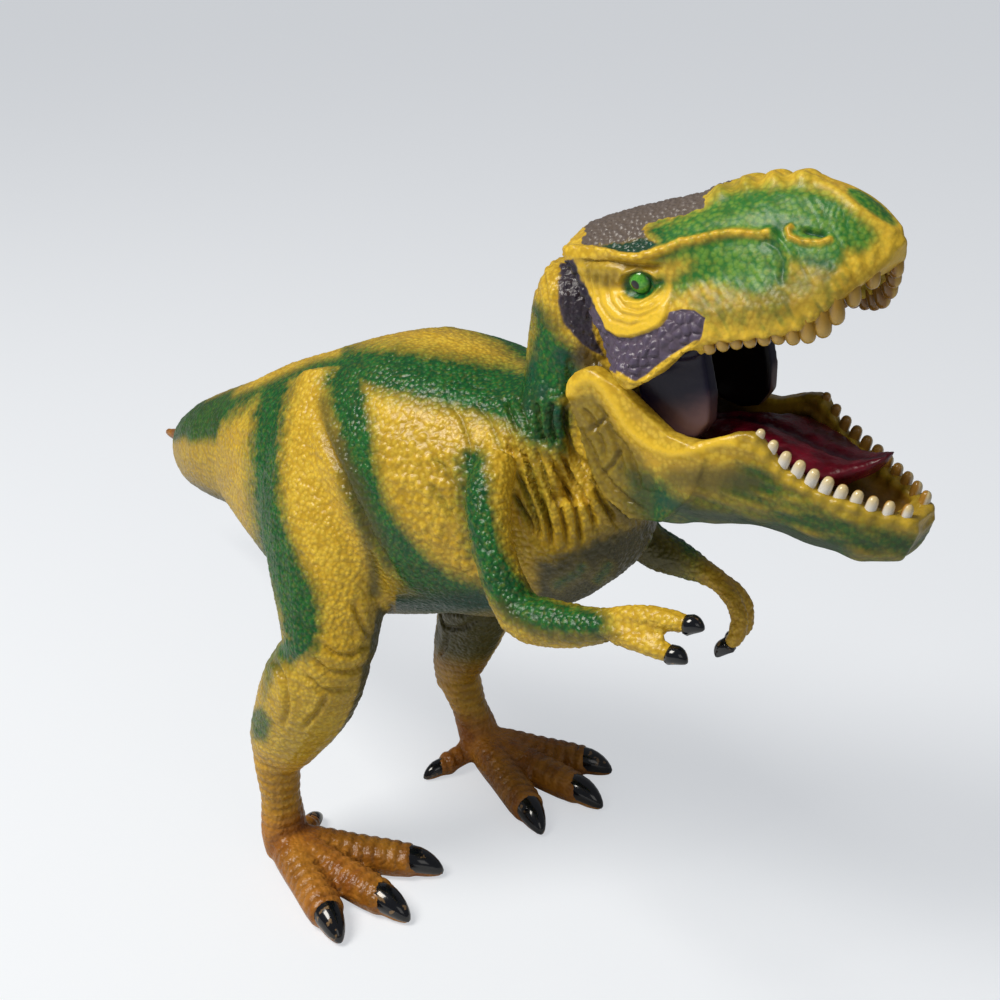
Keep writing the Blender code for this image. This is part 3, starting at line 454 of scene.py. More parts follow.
def patch(spots, outline, soft):
    """1 inside an outline, fading out over its soft edge."""
    gap, _ = near_route(spots, (*outline, outline[0]))
    x, y = spots.T
    inside = np.zeros(len(spots), bool)
    for (x0, y0), (x1, y1) in zip(outline, (*outline[1:], outline[0])):
        if y0 != y1:
            inside ^= ((y0 > y) != (y1 > y)) & (x < x0 + (y - y0) * (x1 - x0) / (y1 - y0))
    return step(np.where(inside, gap, -gap), -soft / 2, soft / 2)


def line(spots, route, width, ends=0.12):
    """1 along the middle of a line, falling off to its sides and towards its ends."""
    gap, share = near_route(spots, route)
    fade = np.exp(-((gap / width) ** 2))
    return fade * step(share, -0.001, ends) * (1 - step(share, 1 - ends, 1.001)) if ends else fade


def beads(spots, route, count, width):
    """A row of that many beads along a route, 1 at the top of each."""
    gap, share = near_route(spots, route)
    return np.exp(-((gap / width) ** 2)) * (0.5 - 0.5 * np.cos(2 * math.pi * share * count))


def scatter(cells, seed):
    """A fixed number from 0 to 1 for each cell of a grid, without order."""
    mixed = cells[:, 0] * 73856093 ^ cells[:, 1] * 19349663 ^ cells[:, 2] * 83492791 ^ seed * 2654435761
    mixed = (mixed ^ (mixed >> 15)) * 2246822519 & 0xFFFFFFFF
    mixed = (mixed ^ (mixed >> 13)) * 3266489917 & 0xFFFFFFFF
    return ((mixed ^ (mixed >> 16)) & 0xFFFF) / 65535.0


def noise(points, size, seed):
    """Smooth noise from -1 to 1 whose swells are about that many millimetres apart."""
    cells = np.floor(points / size)
    part = points / size - cells
    part = part * part * (3 - 2 * part)
    cells = cells.astype(np.int64)
    total = 0.0
    for corner in product((0, 1), repeat=3):
        weight = np.prod(np.where(corner, part, 1 - part), axis=1)
        total = total + weight * scatter(cells + corner, seed)
    return total * 2 - 1


def pebbles(points, size, seed):
    """Heights from 0 to 1 of a skin of rounded pebbles, about that many millimetres wide, packed together."""
    spread = points / size
    cells = np.floor(spread).astype(np.int64)
    first = np.full(len(points), 9.0)
    second = np.full(len(points), 9.0)
    for offset in product((-1, 0, 1), repeat=3):
        cell = cells + offset
        loose = np.stack([scatter(cell, seed + axis) for axis in range(3)], axis=1)
        middle = cell + 0.5 + 0.7 * (loose - 0.5)
        gap = np.linalg.norm(spread - middle, axis=1)
        second = np.minimum(second, np.maximum(first, gap))
        first = np.minimum(first, gap)
    return 1 - (1 - np.clip((second - first) * 1.25, 0, 1)) ** 2


def wrinkles(spots, across, period, wander):
    """Heights from 0 to 1 of folds in rows, round on top and sharp between. across points from row to row."""
    turn = np.array(across, float)
    turn /= np.linalg.norm(turn)
    return np.abs(np.cos(math.pi * ((spots @ turn) / period + wander))) ** 0.7


def lay(name, mask):
    """Adds a coat of paint where the mask is, over what is there."""
    paint[name] = np.maximum(paint[name], mask)


def lift(name, mask):
    """Takes a coat of paint away where the mask is."""
    paint[name] = paint[name] * (1 - mask)


def textured(where, heights, tall, wash_and_shade, middle=0.6):
    """The relief of a texture where the mask is, with a dark wash and painted shade in its hollows."""
    lay("hollow", wash_and_shade * where * (1 - heights))
    return tall * where * (heights - middle)


def folded(routes, where, fold, swell, wash_and_shade, wander=0):
    """Relief of sharp folds along routes, each between two swells, with painted shade along each fold. A fold
    or swell is height, width, ends.
    """
    heights = 0
    for route in routes:
        mask = line(spots + wander, route, *fold[1:]) * where
        heights = heights - fold[0] * mask + swell[0] * line(spots, route, *swell[1:]) * where
        lay("hollow", wash_and_shade * mask)
    return heights


body_weight = SOFT["torso"] + SOFT["tail"] + SOFT["neck"] + SOFT["skull"]
leg_weight = SOFT["right_leg"] + SOFT["left_leg"]
arm_weight = SOFT["right_arm"] + SOFT["left_arm"]
slow = noise(points, 9.0, 11)
middling = noise(points, 3.2, 12)
quick = noise(points, 1.1, 13)
wide_pebbles = pebbles(points, 1.75, 21)
small_pebbles = pebbles(points, 1.2, 31)
height = points[:, 2]
under = -normals[:, 2]
wander = middling[:, None] * 1.6
dotted = spots + quick[:, None] * 4


# Torso, thighs and their stripes
# Cast vinyl with a pebbled skin, sprayed yellow, with green stripes sprayed over it and faded at their edges.

BACK_STRIPE = ((188, 432), (216, 412), (252.6, 387), (278, 370), (317, 365), (356, 366), (398.5, 371),
               (440.6, 380), (482.7, 388), (519, 398), (544, 421))
BACK_STRIPE_HALVES = (10, 10, 11, 12, 16, 18, 22, 23, 24, 28, 26)
REAR_STRIPE = ((278, 373), (268, 418), (264, 457), (265, 496), (272, 533), (282, 569), (297.5, 603),
               (300, 617), (301, 642), (286, 652))
REAR_STRIPE_HALVES = (14, 14, 14, 13, 13, 15, 17, 20, 19, 11)
FRONT_STRIPE = ((345, 384), (349, 407), (355, 432), (358, 457), (362, 482), (370, 508), (384, 533),
                (400, 555), (420, 577), (445, 591), (474, 596))
FRONT_STRIPE_HALVES = (19, 16, 15, 15, 16, 16, 17, 18, 18, 16, 11)
FLANK_CREASE = ((312, 405), (318.5, 421), (328, 446), (342, 474), (356, 505), (370, 536), (384.5, 558),
                (401, 583))
SPINE_LIGHT = ((177, 430), (185, 415), (200, 404), (226, 392), (254, 382), (284, 368), (313, 356), (345, 349))
THIGH_CREASE = ((354, 500), (366, 535), (374, 570), (376, 604))
OLIVE_STRIP = ((322, 400), (330, 430), (343, 458), (354, 486), (368, 520), (385, 550))
OLIVE_STRIP_HALVES = (5, 8, 10, 11, 10, 6)
RUMP_SHADE = (195, 260)
# Folds and the swells beside them: height or depth, half width, and how much of their ends fades out
FLANK_FOLD = (1.25, 3.6)
FLANK_SWELL = (0.5, 12)
SHOULDER_FOLD = (0.7, 2.6, 0.25)
SHOULDER_SWELL = (0.25, 6.5, 0.25)
# Textures: how tall they are, and how dark the wash and painted shade in their hollows is
FLANK_PEBBLES = (0.48, 0.75)
COMBED_ROWS = (0.16, 0.5)
PLAIN_PEBBLES = (0.20, 0.35)
COMBED_PERIOD = 5.6
THIGH_CREASE_DEPTH = 0.4
FLANK_PATCH = ((372, 418), (400, 412), (440, 430), (462, 455), (470, 490), (478, 540), (495, 585), (470, 585),
               (430, 566), (402, 530), (384, 490), (374, 450))
BELLY_PATCH = ((385, 602), (420, 602), (470, 605), (505, 606), (520, 650), (380, 650))
BELLY_EDGE = ((392, 604), (430, 606), (470, 604), (500, 602))
COMBED_PATCH = ((405, 335), (470, 345), (540, 358), (548, 400), (535, 425), (480, 405), (410, 385))
SHOULDER_FOLDS = (
    ((448, 398), (462, 420), (470, 445), (470, 470)),
    ((470, 398), (490, 420), (502, 450), (504, 480)),
    ((490, 395), (508, 425), (520, 460), (528, 500), (534, 540)),
    ((508, 395), (522, 425), (534, 460), (545, 500), (553, 548)),
    ((430, 455), (446, 470), (458, 492)),
    ((425, 480), (440, 498), (456, 520)),
)

# The loose skin of the neck and its folds run on over the torso
torso = SOFT["torso"]
near_neck = np.clip(SOFT["neck"] + torso, 0, 1)
on_body = np.clip(torso + SOFT["neck"] + leg_weight * 0.999, 0, 1)
green = band(dotted, BACK_STRIPE, BACK_STRIPE_HALVES, 40) * np.clip(body_weight, 0, 1)
for route, halves in ((REAR_STRIPE, REAR_STRIPE_HALVES), (FRONT_STRIPE, FRONT_STRIPE_HALVES)):
    green = np.maximum(green, band(dotted, route, halves, 32) * on_body)
lay("green", np.clip(green * 1.35, 0, 1) * (1 - SOFT["skull"]))
# Dark olive strip down the thigh's front edge: partly paint, partly painted shade where the thigh turns away
# from the light
lay("olive", 0.75 * band(spots, OLIVE_STRIP, OLIVE_STRIP_HALVES, 20) * on_body)
# Painted shade under the body: olive and teal on the skin that faces down and along the belly line, over the
# belly's own dark olive paint
lay("olive", 0.9 * step(under, 0.35, 0.9) * torso)
lay("olive", patch(spots, BELLY_PATCH, 10) * torso)
lift("olive", 0.9 * line(spots, BELLY_EDGE, 14, 0.05) * torso)
lay("teal", 0.9 * line(spots, BELLY_EDGE, 16, 0.05) * torso)
lay("teal", 0.35 * step(under, 0.5, 0.95) * torso)
lift("green", line(spots, SPINE_LIGHT, 6, 0.05) * on_body)
# The thigh crease is cut in and painted olive as shade, with a little green paint
crease = line(spots, THIGH_CREASE, 8, 0.1) * on_body
relief -= THIGH_CREASE_DEPTH * crease
lay("olive", 0.7 * crease)
lay("green", 0.3 * crease)
lay("olive", 0.4 * on_body * (1 - step(spots[:, 0], *RUMP_SHADE)))
relief += folded((FLANK_CREASE,), on_body, FLANK_FOLD, FLANK_SWELL, 0.8)
flank = patch(spots, FLANK_PATCH, 34) * torso
relief += textured(flank, wide_pebbles, *FLANK_PEBBLES)
combed = patch(spots, COMBED_PATCH, 30) * near_neck
relief += textured(combed, wrinkles(spots, (1, -0.25), COMBED_PERIOD, 0.35 * middling), *COMBED_ROWS)
relief += folded(SHOULDER_FOLDS, near_neck, SHOULDER_FOLD, SHOULDER_SWELL, 0.6)
for route in SHOULDER_FOLDS:
    lay("green", 0.35 * line(spots, route, 5, 0.2) * near_neck)
plain = np.clip(torso + SOFT["tail"] * 0.6 + arm_weight * 0.8 + SOFT["neck"] * 0.7, 0, 1)
relief += textured(plain * (1 - flank) * (1 - combed), small_pebbles, *PLAIN_PEBBLES)
lay("grain", np.clip(on_body + SOFT["tail"] + arm_weight, 0, 1) * (1 - 0.6 * flank))


# Neck
# Part of the head's casting. Its loose skin hangs in rows of folds, dark green behind the jaw and ochre
# below it.

NECK_GREEN = ((528, 300), (540, 305), (560, 335), (582, 352), (590, 388), (566, 400), (566, 452), (548, 454),
              (530, 432), (518, 398), (520, 365), (530, 350))
NECK_FOLDS = (
    ((484, 437), (490, 457), (503, 480), (519, 502), (530, 522), (536, 545)),
    ((507, 434), (513, 456), (519, 478), (530, 500), (538, 524), (543, 548)),
    ((522, 437), (527, 460), (535, 482), (543, 506), (551, 530), (554, 552)),
    ((534, 440), (540, 462), (549, 486), (560, 508), (566, 530), (567, 550)),
    ((545, 450), (556, 470), (567, 490), (577, 512), (580, 535), (580, 548)),
    ((556, 448), (570, 472), (583, 492), (592, 512), (597, 534)),
    ((568, 446), (583, 472), (598, 494), (610, 514), (618, 530)),
    ((584, 456), (599, 480), (615, 500), (632, 518)),
    ((597, 452), (611, 476), (627, 496), (644, 512)),
    ((566, 404), (566, 428), (573, 450), (588, 468)),
    ((552, 400), (552, 424), (556, 446)),
    ((536, 400), (540, 424), (545, 446)),
    ((520, 395), (525, 418), (533, 440)),
    ((505, 398), (512, 418), (520, 436)),
)
NECK_LOOSE = ((495, 420), (520, 392), (545, 390), (575, 400), (610, 420), (650, 470), (655, 520), (620, 575),
              (560, 585), (532, 545), (512, 500))
THROAT_SHADE = ((590, 408), (625, 440), (655, 505), (640, 540), (610, 520), (592, 470))
CHEST_SHADE = ((538, 562), (560, 552), (590, 536), (625, 524), (655, 516), (665, 560), (620, 600), (570, 625),
               (530, 620))
CHEST_GREEN = (((548, 592), (562, 580), (576, 572), (588, 556)), ((592, 586), (602, 572), (610, 556)))
HACKLE_FOLDS = ((530, 262), (562, 246), (572, 300), (560, 340), (540, 322))
PAINTED_JAW_SHADOW = ((580, 338), (600, 358), (622, 380), (640, 390), (668, 452), (640, 440), (606, 386), (586, 372),
             (572, 360))
NECK_FOLD = (2.0, 2.6, 0.2)
NECK_SWELL = (0.45, 6, 0.3)
LOOSE_SWELL = 0.6
LOOSE_PEBBLES = 0.26
HACKLE_ROWS = (0.4, 0.7)
HACKLE_PERIOD = 7.0

lay("green", patch(dotted, NECK_GREEN, 26) * near_neck)
lay("teal", 0.75 * patch(spots, NECK_GREEN, 34) * near_neck * step(middling, -0.5, 0.6))
loose = patch(spots, NECK_LOOSE, 30) * near_neck
relief += loose * (LOOSE_SWELL + LOOSE_PEBBLES * (wide_pebbles - 0.5))
relief += folded(NECK_FOLDS, near_neck, NECK_FOLD, NECK_SWELL, 1, wander)
for route in NECK_FOLDS:
    lay("green", 0.6 * line(spots, route, 5, 0.3) * near_neck * step(-slow, -0.35, 0.4))
lay("hollow", loose * (1 - wide_pebbles) * 0.6)
# Painted shade: olive on the throat under the head
lay("olive", 0.6 * patch(spots, THROAT_SHADE, 22) * near_neck)
# Painted shade: olive, teal and black darken the chest under the neck, over its own dark paint
chest_paint_and_shade = patch(dotted, CHEST_SHADE, 30) * near_neck
for name, amount in (("olive", 0.95), ("teal", 0.35), ("black", 0.2)):
    lay(name, amount * chest_paint_and_shade)
for route in CHEST_GREEN:
    lift("olive", 0.85 * line(spots, route, 8, 0.2) * near_neck)
    lay("green", 0.9 * line(spots, route, 9, 0.2) * near_neck)
hackle = patch(spots, HACKLE_FOLDS, 12) * np.clip(SOFT["neck"] + SOFT["skull"], 0, 1)
relief += textured(hackle, wrinkles(spots, (1, -0.1), HACKLE_PERIOD, 0.3 * slow), *HACKLE_ROWS)
lay("olive", 0.5 * hackle * step(spots[:, 1], 285, 330))
# Painted shadow: black in the gap behind the jaw and under the cheek flap
shadow_behind_jaw = patch(spots, PAINTED_JAW_SHADOW, 12) * SOFT["neck"]
lift("green", 0.8 * shadow_behind_jaw)
lay("black", 0.85 * shadow_behind_jaw)
lay("grain", SOFT["neck"] * (1 - 0.6 * loose))


# Tail
# Its own casting, plugged into the rump. The stripe of the back runs on along each of its sides.

TAIL_ROUTE = ((-21.7, -9.0, 76.2), (-31, -8.4, 73.6), (-41, -4.4, 69.5), (-51, 4.3, 63.6), (-62, 14.6, 58.0),
              (-74, 25.5, 52.5), (-87, 35.3, 47.3), (-101, 41.6, 43.2), (-113, 45.7, 40.6),
              (-123, 48.5, 39.1))
TAIL_HALVES = (14.4, 12.0, 9.8, 8.4, 7.2, 6.0, 4.8, 3.4, 2.2, 1.0)
# Levels on the side of the tail, -1 at the bottom and 1 at the top, between which the paint fades
STRIPE_FROM = (0.16, 0.38)
STRIPE_TO = (0.80, 0.95)
TAIL_UNDERSIDE_SHADE = (-0.85, -0.35)
# Shares of the tail's length
STRIPE_ENDS = (0.8, 0.95)
TAIL_TIP_FROM = (0.82, 0.95)
TAIL_RINGS = 0.10
TAIL_RING_PERIOD = 4.2

route = np.array(TAIL_ROUTE)
gap, share = near_route(points, TAIL_ROUTE)
lengths = np.concatenate(((0.0,), np.cumsum(np.linalg.norm(np.diff(route, axis=0), axis=1))))
along = share * lengths[-1]
level = (height - np.interp(along, lengths, route[:, 2])) / np.interp(along, lengths, TAIL_HALVES)
tail_weight = np.clip(SOFT["tail"] * 1.2, 0, 1)
stripe = step(level, *STRIPE_FROM) * (1 - step(level, *STRIPE_TO)) * (1 - step(share, *STRIPE_ENDS))
paint["green"] = paint["green"] * (1 - tail_weight) + tail_weight * stripe
# Olive over the tail, and more of it as painted shade on its underside
lay("olive", tail_weight * (0.9 - 0.55 * step(level, *TAIL_UNDERSIDE_SHADE)))
lay("brown", 0.8 * tail_weight * step(share, *TAIL_TIP_FROM))
rings = wrinkles(np.stack((along, level * 2), axis=1), (1, 0), TAIL_RING_PERIOD, 0.3 * middling)
relief += textured(tail_weight, rings, TAIL_RINGS, 0)


# Legs
# One casting each. Small pebbles on the thigh, loose folds at the knee, ridged scales down the foot and toes.

KNEE_FOLDS = (
    ((318, 640), (335, 655), (352, 655), (372, 640)),
    ((308, 655), (328, 672), (350, 672), (370, 662)),
    ((300, 672), (322, 690), (345, 690), (362, 680)),
    ((272, 655), (284, 680), (288, 705), (284, 730)),
    ((352, 600), (362, 625), (372, 640)),
    ((330, 690), (318, 712), (300, 730)),
)
HOCK_GREEN = ((248, 712), (262, 706), (272, 722), (266, 742), (252, 740))
KNEE_GREEN = ((262, 652), (285, 640), (306, 640), (300, 655), (276, 672), (264, 700))
LEG_PARTS = {"right_leg": ((7.69, -35.96), -1), "left_leg": ((15.61, 18.04), 1)}
TOE_TURNS = (-28.5, 0.0, 25.0)
TOE_LENGTHS = (32.7, 33.3, 30.0)
HALLUX_TURN = -107.0
HALLUX_LENGTH = 15.3
CUFF_FROM_TIP = 6.4
CUFF_WIDTH = 1.0
CUFF_HEIGHT = 0.32
KNEE_FOLD = (1.1, 3.0, 0.2)
KNEE_SWELL = (0.5, 8, 0.2)
THIGH_PEBBLES = (0.24, 0.45)
SHIN_ROWS = (0.16, 0.4)
SHIN_PEBBLES = 0.12
SHIN_PERIOD = 3.1
ANKLE_ROWS = (0.30, 0.8)
ANKLE_PERIOD = 2.0
TOE_ROWS = (0.42, 0.8)
TOE_PERIOD = 2.3
# Heights over the floor, and distances along and across a toe, between which one look fades into the next
THIGH_FROM = (52, 62)
SHIN_FROM = (24, 32)
SHIN_TO = (50, 60)
FOOT_TO = (25, 33)
SOLE_TO = (9, 16)
INSIDE_SHADE_FROM = (18, 34)
ANKLE_FROM = (8, 11)
TOE_TO = (7, 9)
TOE_FROM = (3, 6)
TOE_SIDES = (4.2, 5.4)
CUFF_SIDES = (3.6, 4.6)

thigh = leg_weight * step(height, *THIGH_FROM)
relief += textured(thigh, small_pebbles, *THIGH_PEBBLES)
relief += folded(KNEE_FOLDS, leg_weight, KNEE_FOLD, KNEE_SWELL, 0.6)
shin = leg_weight * (1 - step(height, *SHIN_TO)) * step(height, *SHIN_FROM)
slanted = np.stack((height + points[:, 0] * 0.25, points[:, 1]), axis=1)
rows = wrinkles(slanted, (1, 0), SHIN_PERIOD, 0.5 * slow + 0.2 * middling)
relief += textured(shin, rows, *SHIN_ROWS)
relief += textured(shin, small_pebbles, SHIN_PEBBLES, 0, 0.5)
lay("olive", 0.3 * shin)
lay("green", 0.9 * patch(spots, HOCK_GREEN, 10) * leg_weight)
lay("green", 0.75 * patch(spots, KNEE_GREEN, 14) * leg_weight)
foot = leg_weight * (1 - step(height, *FOOT_TO))
lay("brown", foot * (0.85 + 0.15 * slow) * (1 - 0.4 * step(height, *SOLE_TO)))
lift("green", foot)
lift("olive", foot)
for name, (root, side) in LEG_PARTS.items():
    away = points[:, :2] - np.array(root)
    here = np.clip(SOFT[name] * 2, 0, 1)
    # Painted shade: olive on the faces of the legs that turn in towards the body, above the foot
    inside = step(normals[:, 0] * 0.35 - normals[:, 1] * side * 0.94, -0.05, 0.6) * here
    lay("olive", 0.95 * inside * step(height, *INSIDE_SHADE_FROM))
    here = here * foot
    rows = wrinkles(points[:, 2:3] * np.ones(2), (1, 0), ANKLE_PERIOD, 0.3 * slow + 0.15 * middling)
    relief += textured(here * step(height, *ANKLE_FROM), rows, *ANKLE_ROWS)
    for turn, length in zip((*TOE_TURNS, HALLUX_TURN), (*TOE_LENGTHS, HALLUX_LENGTH)):
        heading = math.radians(turn) * side
        ahead = np.array((math.cos(heading), math.sin(heading)))
        along = away @ ahead
        across = away @ np.array((-ahead[1], ahead[0]))
        toe = here * (1 - step(np.abs(across), *TOE_SIDES)) * step(along, *TOE_FROM)
        toe = toe * (1 - step(height, *TOE_TO)) * step(-under, -0.2, 0.5)
        rows = wrinkles(np.stack((along, across), axis=1), (1, 0), TOE_PERIOD, 0.12 * middling)
        relief += textured(toe, rows, *TOE_ROWS)
        lay("bright", 0.5 * toe * rows)
        cuff = np.exp(-(((along - length + CUFF_FROM_TIP) / CUFF_WIDTH) ** 2))
        cuff *= 1 - step(np.abs(across), *CUFF_SIDES)
        relief += CUFF_HEIGHT * here * cuff


# Arms
# One casting each, green on the outside down to the wrist, with yellow hands. The claws are set on later.

ARM_STRIPE = ((471, 462), (474, 496), (480, 524), (487, 552), (500, 582), (520, 604), (553, 617), (592, 623))
ARM_STRIPE_HALVES = (14, 16, 16, 17, 20, 20, 17, 14)
ARM_LIGHT = ((504, 488), (512, 520), (522, 552), (530, 578))
ELBOW_SHADE = ((492, 592), (512, 618), (540, 634), (580, 640), (630, 634))
# On the left arm, forward to the hand and outwards from the inside
HAND_FROM = (70, 76)
OUTSIDE_FROM = (8, 13)
ARM_PEBBLES = 0.20

right_arm = np.clip(SOFT["right_arm"] * 1.6, 0, 1)
on_arm = np.clip(right_arm + 0.8 * torso * (spots[:, 1] < 560), 0, 1)
stripe = band(dotted, ARM_STRIPE, ARM_STRIPE_HALVES, 32) * on_arm
lay("green", np.clip(stripe * 1.3, 0, 1))
lift("green", 0.9 * line(spots, ARM_LIGHT, 9, 0.1) * right_arm)
# Painted shade: olive under the elbow
lay("olive", 0.6 * line(spots, ELBOW_SHADE, 8, 0.1) * right_arm)
left_arm = np.clip(SOFT["left_arm"] * 1.6, 0, 1)
hand = step(points[:, 0], *HAND_FROM)
outer = step(points[:, 1], *OUTSIDE_FROM)
lay("green", left_arm * (1 - hand) * (0.35 + 0.65 * outer))
# Painted shade: olive and teal on the inside of the left arm, which faces the body
lay("olive", 0.85 * left_arm * (1 - outer) * (1 - hand))
lay("teal", 0.35 * left_arm * (1 - outer) * (1 - hand))
lay("brown", 0.35 * left_arm * hand)
relief += textured(arm_weight, wide_pebbles, ARM_PEBBLES, 0)


# Head
# The same casting as the neck: a rough grey skull roof, beaded brows and crest, sunken eyes and bare
# cheek flaps.

ROOF_PATCH = ((582, 250), (585, 229), (597, 212), (620, 208), (640, 204), (660, 200), (680, 195), (697, 190),
              (712, 184), (730, 184), (707, 197), (702, 206), (679, 217), (670, 217), (658, 222.5),
              (649, 222.5), (642, 231), (648, 238), (657, 243), (642, 254), (614, 251))
ROOF_TEAL = ((628, 240), (645, 236), (660, 246), (640, 258), (600, 252), (600, 244))
HEAD_GREEN = ((652, 262), (657, 243), (644, 234), (650, 222), (670, 217), (702, 204), (712, 196), (730, 186),
              (760, 186), (790, 184), (815, 186), (835, 195), (850, 206), (868, 222), (880, 234), (882, 244),
              (868, 256), (847, 253), (848, 268), (835, 272), (815, 268), (798, 266), (788, 262), (784, 280),
              (775, 294), (755, 298), (735, 292), (712, 286), (695, 284), (684, 292), (672, 300), (664, 292),
              (676, 276), (690, 262), (675, 262))
FAR_GREEN = ((850, 180), (905, 226), (890, 228), (868, 213), (846, 196))
DARK_GREEN = (
    ((746, 235), (761, 237), (776, 247), (783, 260), (783, 276), (776, 290)),
    ((770, 228), (784, 226), (792, 222)),
    ((800, 256), (820, 262), (840, 270)),
)
BROW = ((568, 250), (582, 250), (606, 252.5), (621, 257), (636.5, 258), (652, 254), (668, 249), (681, 243),
        (698, 240), (717, 235), (736, 233), (759, 235), (773, 234))
UNDER_BROW = ((574, 262), (605, 261), (636.5, 268), (652, 268), (668, 266))
CREST = ((708, 199), (737.5, 187), (766, 181), (791, 179), (815, 181))
CREST_RIDGE = ((800, 180), (815, 181), (835, 190), (847, 199), (858, 210), (868, 216), (879, 224), (890, 230),
               (902, 236))
BROW_BEADS = 17
CREST_BEADS = 4
EYE_SPOT = (638, 286)
EYE_FRONT = ((650, 288), (660, 283))
SOCKET_RADIUS = 15.0
SOCKET_STRETCH = (1.15, 0.95)
BROW_SHADE = ((575, 258), (640, 268), (640, 285), (605, 290), (590, 280))
LID_LINES = (
    ((616, 286), (622, 274), (636, 269), (650, 273), (662, 281)),
    ((618, 292), (626, 301), (640, 303), (652, 296), (662, 285)),
)
EYE_WRINKLES = (
    ((609, 268), (607, 285), (612, 302), (624, 314), (642, 318), (658, 310), (665, 298)),
    ((620, 290), (620, 298), (626, 307), (638, 311), (652, 308), (662, 298)),
    ((598, 266), (597, 285), (602, 304), (614, 320), (632, 326), (650, 321)),
    ((588, 262), (590, 282), (594, 298)),
)
EYE_PATCH = ((575, 258), (600, 260), (625, 264), (650, 268), (668, 270), (672, 290), (668, 308), (666, 317),
             (659.5, 326), (647, 332), (631, 337), (617, 336), (607, 329.5), (602, 318), (593, 303))
FLAP = ((583, 319), (592, 303), (602, 319), (608, 331), (617, 337), (631, 338), (647, 333), (660, 327),
        (667, 318), (669, 312), (681, 309), (694, 310), (705, 318), (702, 332), (700, 341), (688, 351),
        (670, 361), (656, 371), (645, 383), (636.5, 387), (625, 382), (613, 373), (600, 361), (589, 353),
        (582, 346))
FLAP_RIM = ((612, 369), (624, 379), (636.5, 384), (647, 378), (657, 369), (672, 358), (690, 347), (702, 338))
BLACK_PATCH = ((560, 264), (572, 258), (584, 284), (596, 306), (592, 330), (604, 356), (584, 346), (566, 326),
               (558, 300))
NOSTRIL_RIM = ((794, 224), (788, 230), (790, 237), (802, 242), (820, 243), (834, 238))
NOSTRIL = ((799, 229), (812, 232), (830, 235))
LIP_LINE = ((703, 335), (720, 337), (744, 340), (768, 338), (790, 330), (810, 318), (829, 300), (843, 279),
            (855, 264), (872, 253), (898, 244))
LIP_BAND = ((700, 330), (744, 334), (790, 322), (825, 296), (845, 270), (868, 258), (884, 244), (886, 234),
            (900, 236))
MUZZLE_LINES = ((690, 290), (760, 288), (800, 262), (850, 268), (830, 310), (770, 335), (710, 330),
                (690, 315))
LIP_SCALLOPS = 13
ROOF_PEBBLES = (0.42, 0.7, 0.5)
BROW_HEIGHT = 0.75
BEAD_HEIGHT = 0.22
CREST_HEIGHT = 1.0
SOCKET_DEPTH = 1.15
LID_HEIGHT = 0.5
EYE_WRINKLE = (0.36, 2.0, 0.15)
EYE_SWELL = (0.22, 5.0, 0.1)
EYE_PATCH_SWELL = 0.55
FLAP_LUMPS = 0.55
FLAP_RIM_HEIGHT = 0.45
NOSTRIL_RIM_HEIGHT = 0.55
NOSTRIL_DEPTH = 0.8
LIP_SCALLOP_HEIGHT = 0.38

skull = np.clip(SOFT["skull"] * 1.5, 0, 1)
lay("snout", skull * step(spots[:, 0], 640, 690))
lay("green", patch(spots + quick[:, None] * 3, HEAD_GREEN, 24) * skull)
muzzle = patch(spots, MUZZLE_LINES, 30) * skull
spotted = step(middling + quick, -0.6, 0.9) * skull
lay("green", 0.5 * patch(spots + quick[:, None] * 5, MUZZLE_LINES, 30) * spotted)
lay("green", patch(spots, FAR_GREEN, 6) * skull)
lift("green", patch(spots, EYE_PATCH, 8) * skull)
for route in DARK_GREEN:
    lay("teal", 0.5 * line(spots, route, 7.0, 0.15) * skull)
    lay("green", line(spots, route, 9.0, 0.1) * skull)
roof = patch(spots + quick[:, None] * 2.5, ROOF_PATCH, 3) * skull
lift("green", roof)
lay("grey", roof)
roof_teal = patch(spots + quick[:, None] * 2.0, ROOF_TEAL, 9) * skull
lay("teal", roof_teal)
lift("grey", 0.85 * roof_teal)
relief += textured(roof, pebbles(points, 1.05, 41), *ROOF_PEBBLES)

brow_beads = beads(spots, BROW, BROW_BEADS, 3.6) * skull
brow = line(spots, BROW, 4.2, 0.0) * skull
relief += BROW_HEIGHT * brow + BEAD_HEIGHT * brow_beads
brow_light = np.clip(1.3 * line(spots, BROW, 3.8, 0.02), 0, 1) * skull
for name in ("green", "teal", "grey"):
    lift(name, brow_light)
# Painted shadow: a dark line in the groove under the brow ridge
below_brow = line(spots, UNDER_BROW, 4.0, 0.15) * skull
relief -= 0.9 * below_brow
lay("hollow", 0.9 * below_brow)
crest = beads(spots, CREST, CREST_BEADS, 6.5) * skull
relief += CREST_HEIGHT * crest + 0.35 * line(spots, CREST, 6, 0.0) * skull
relief += 0.45 * line(spots, CREST_RIDGE, 4.5, 0.1) * skull
ridge = np.maximum(line(spots, CREST, 6, 0.0), line(spots, CREST_RIDGE, 4.6, 0.03))
ridge = np.clip(1.25 * ridge, 0, 1) * skull
lift("green", 0.45 * ridge)
lay("bright", 0.4 * ridge)

eye_gap = np.linalg.norm((spots - np.array(EYE_SPOT)) / SOCKET_STRETCH, axis=1)
socket = np.exp(-((eye_gap / SOCKET_RADIUS) ** 2)) * skull
relief -= SOCKET_DEPTH * socket
for route in LID_LINES:
    relief += LID_HEIGHT * line(spots, route, 2.4, 0.1) * skull
relief += folded(EYE_WRINKLES, skull, EYE_WRINKLE, EYE_SWELL, 0.55)
eye_patch = patch(spots, EYE_PATCH, 4) * skull
relief += EYE_PATCH_SWELL * eye_patch * step(spots[:, 1], 285, 315)
lay("bright", eye_patch * (0.35 + 0.65 * step(spots[:, 1], 275, 310)))
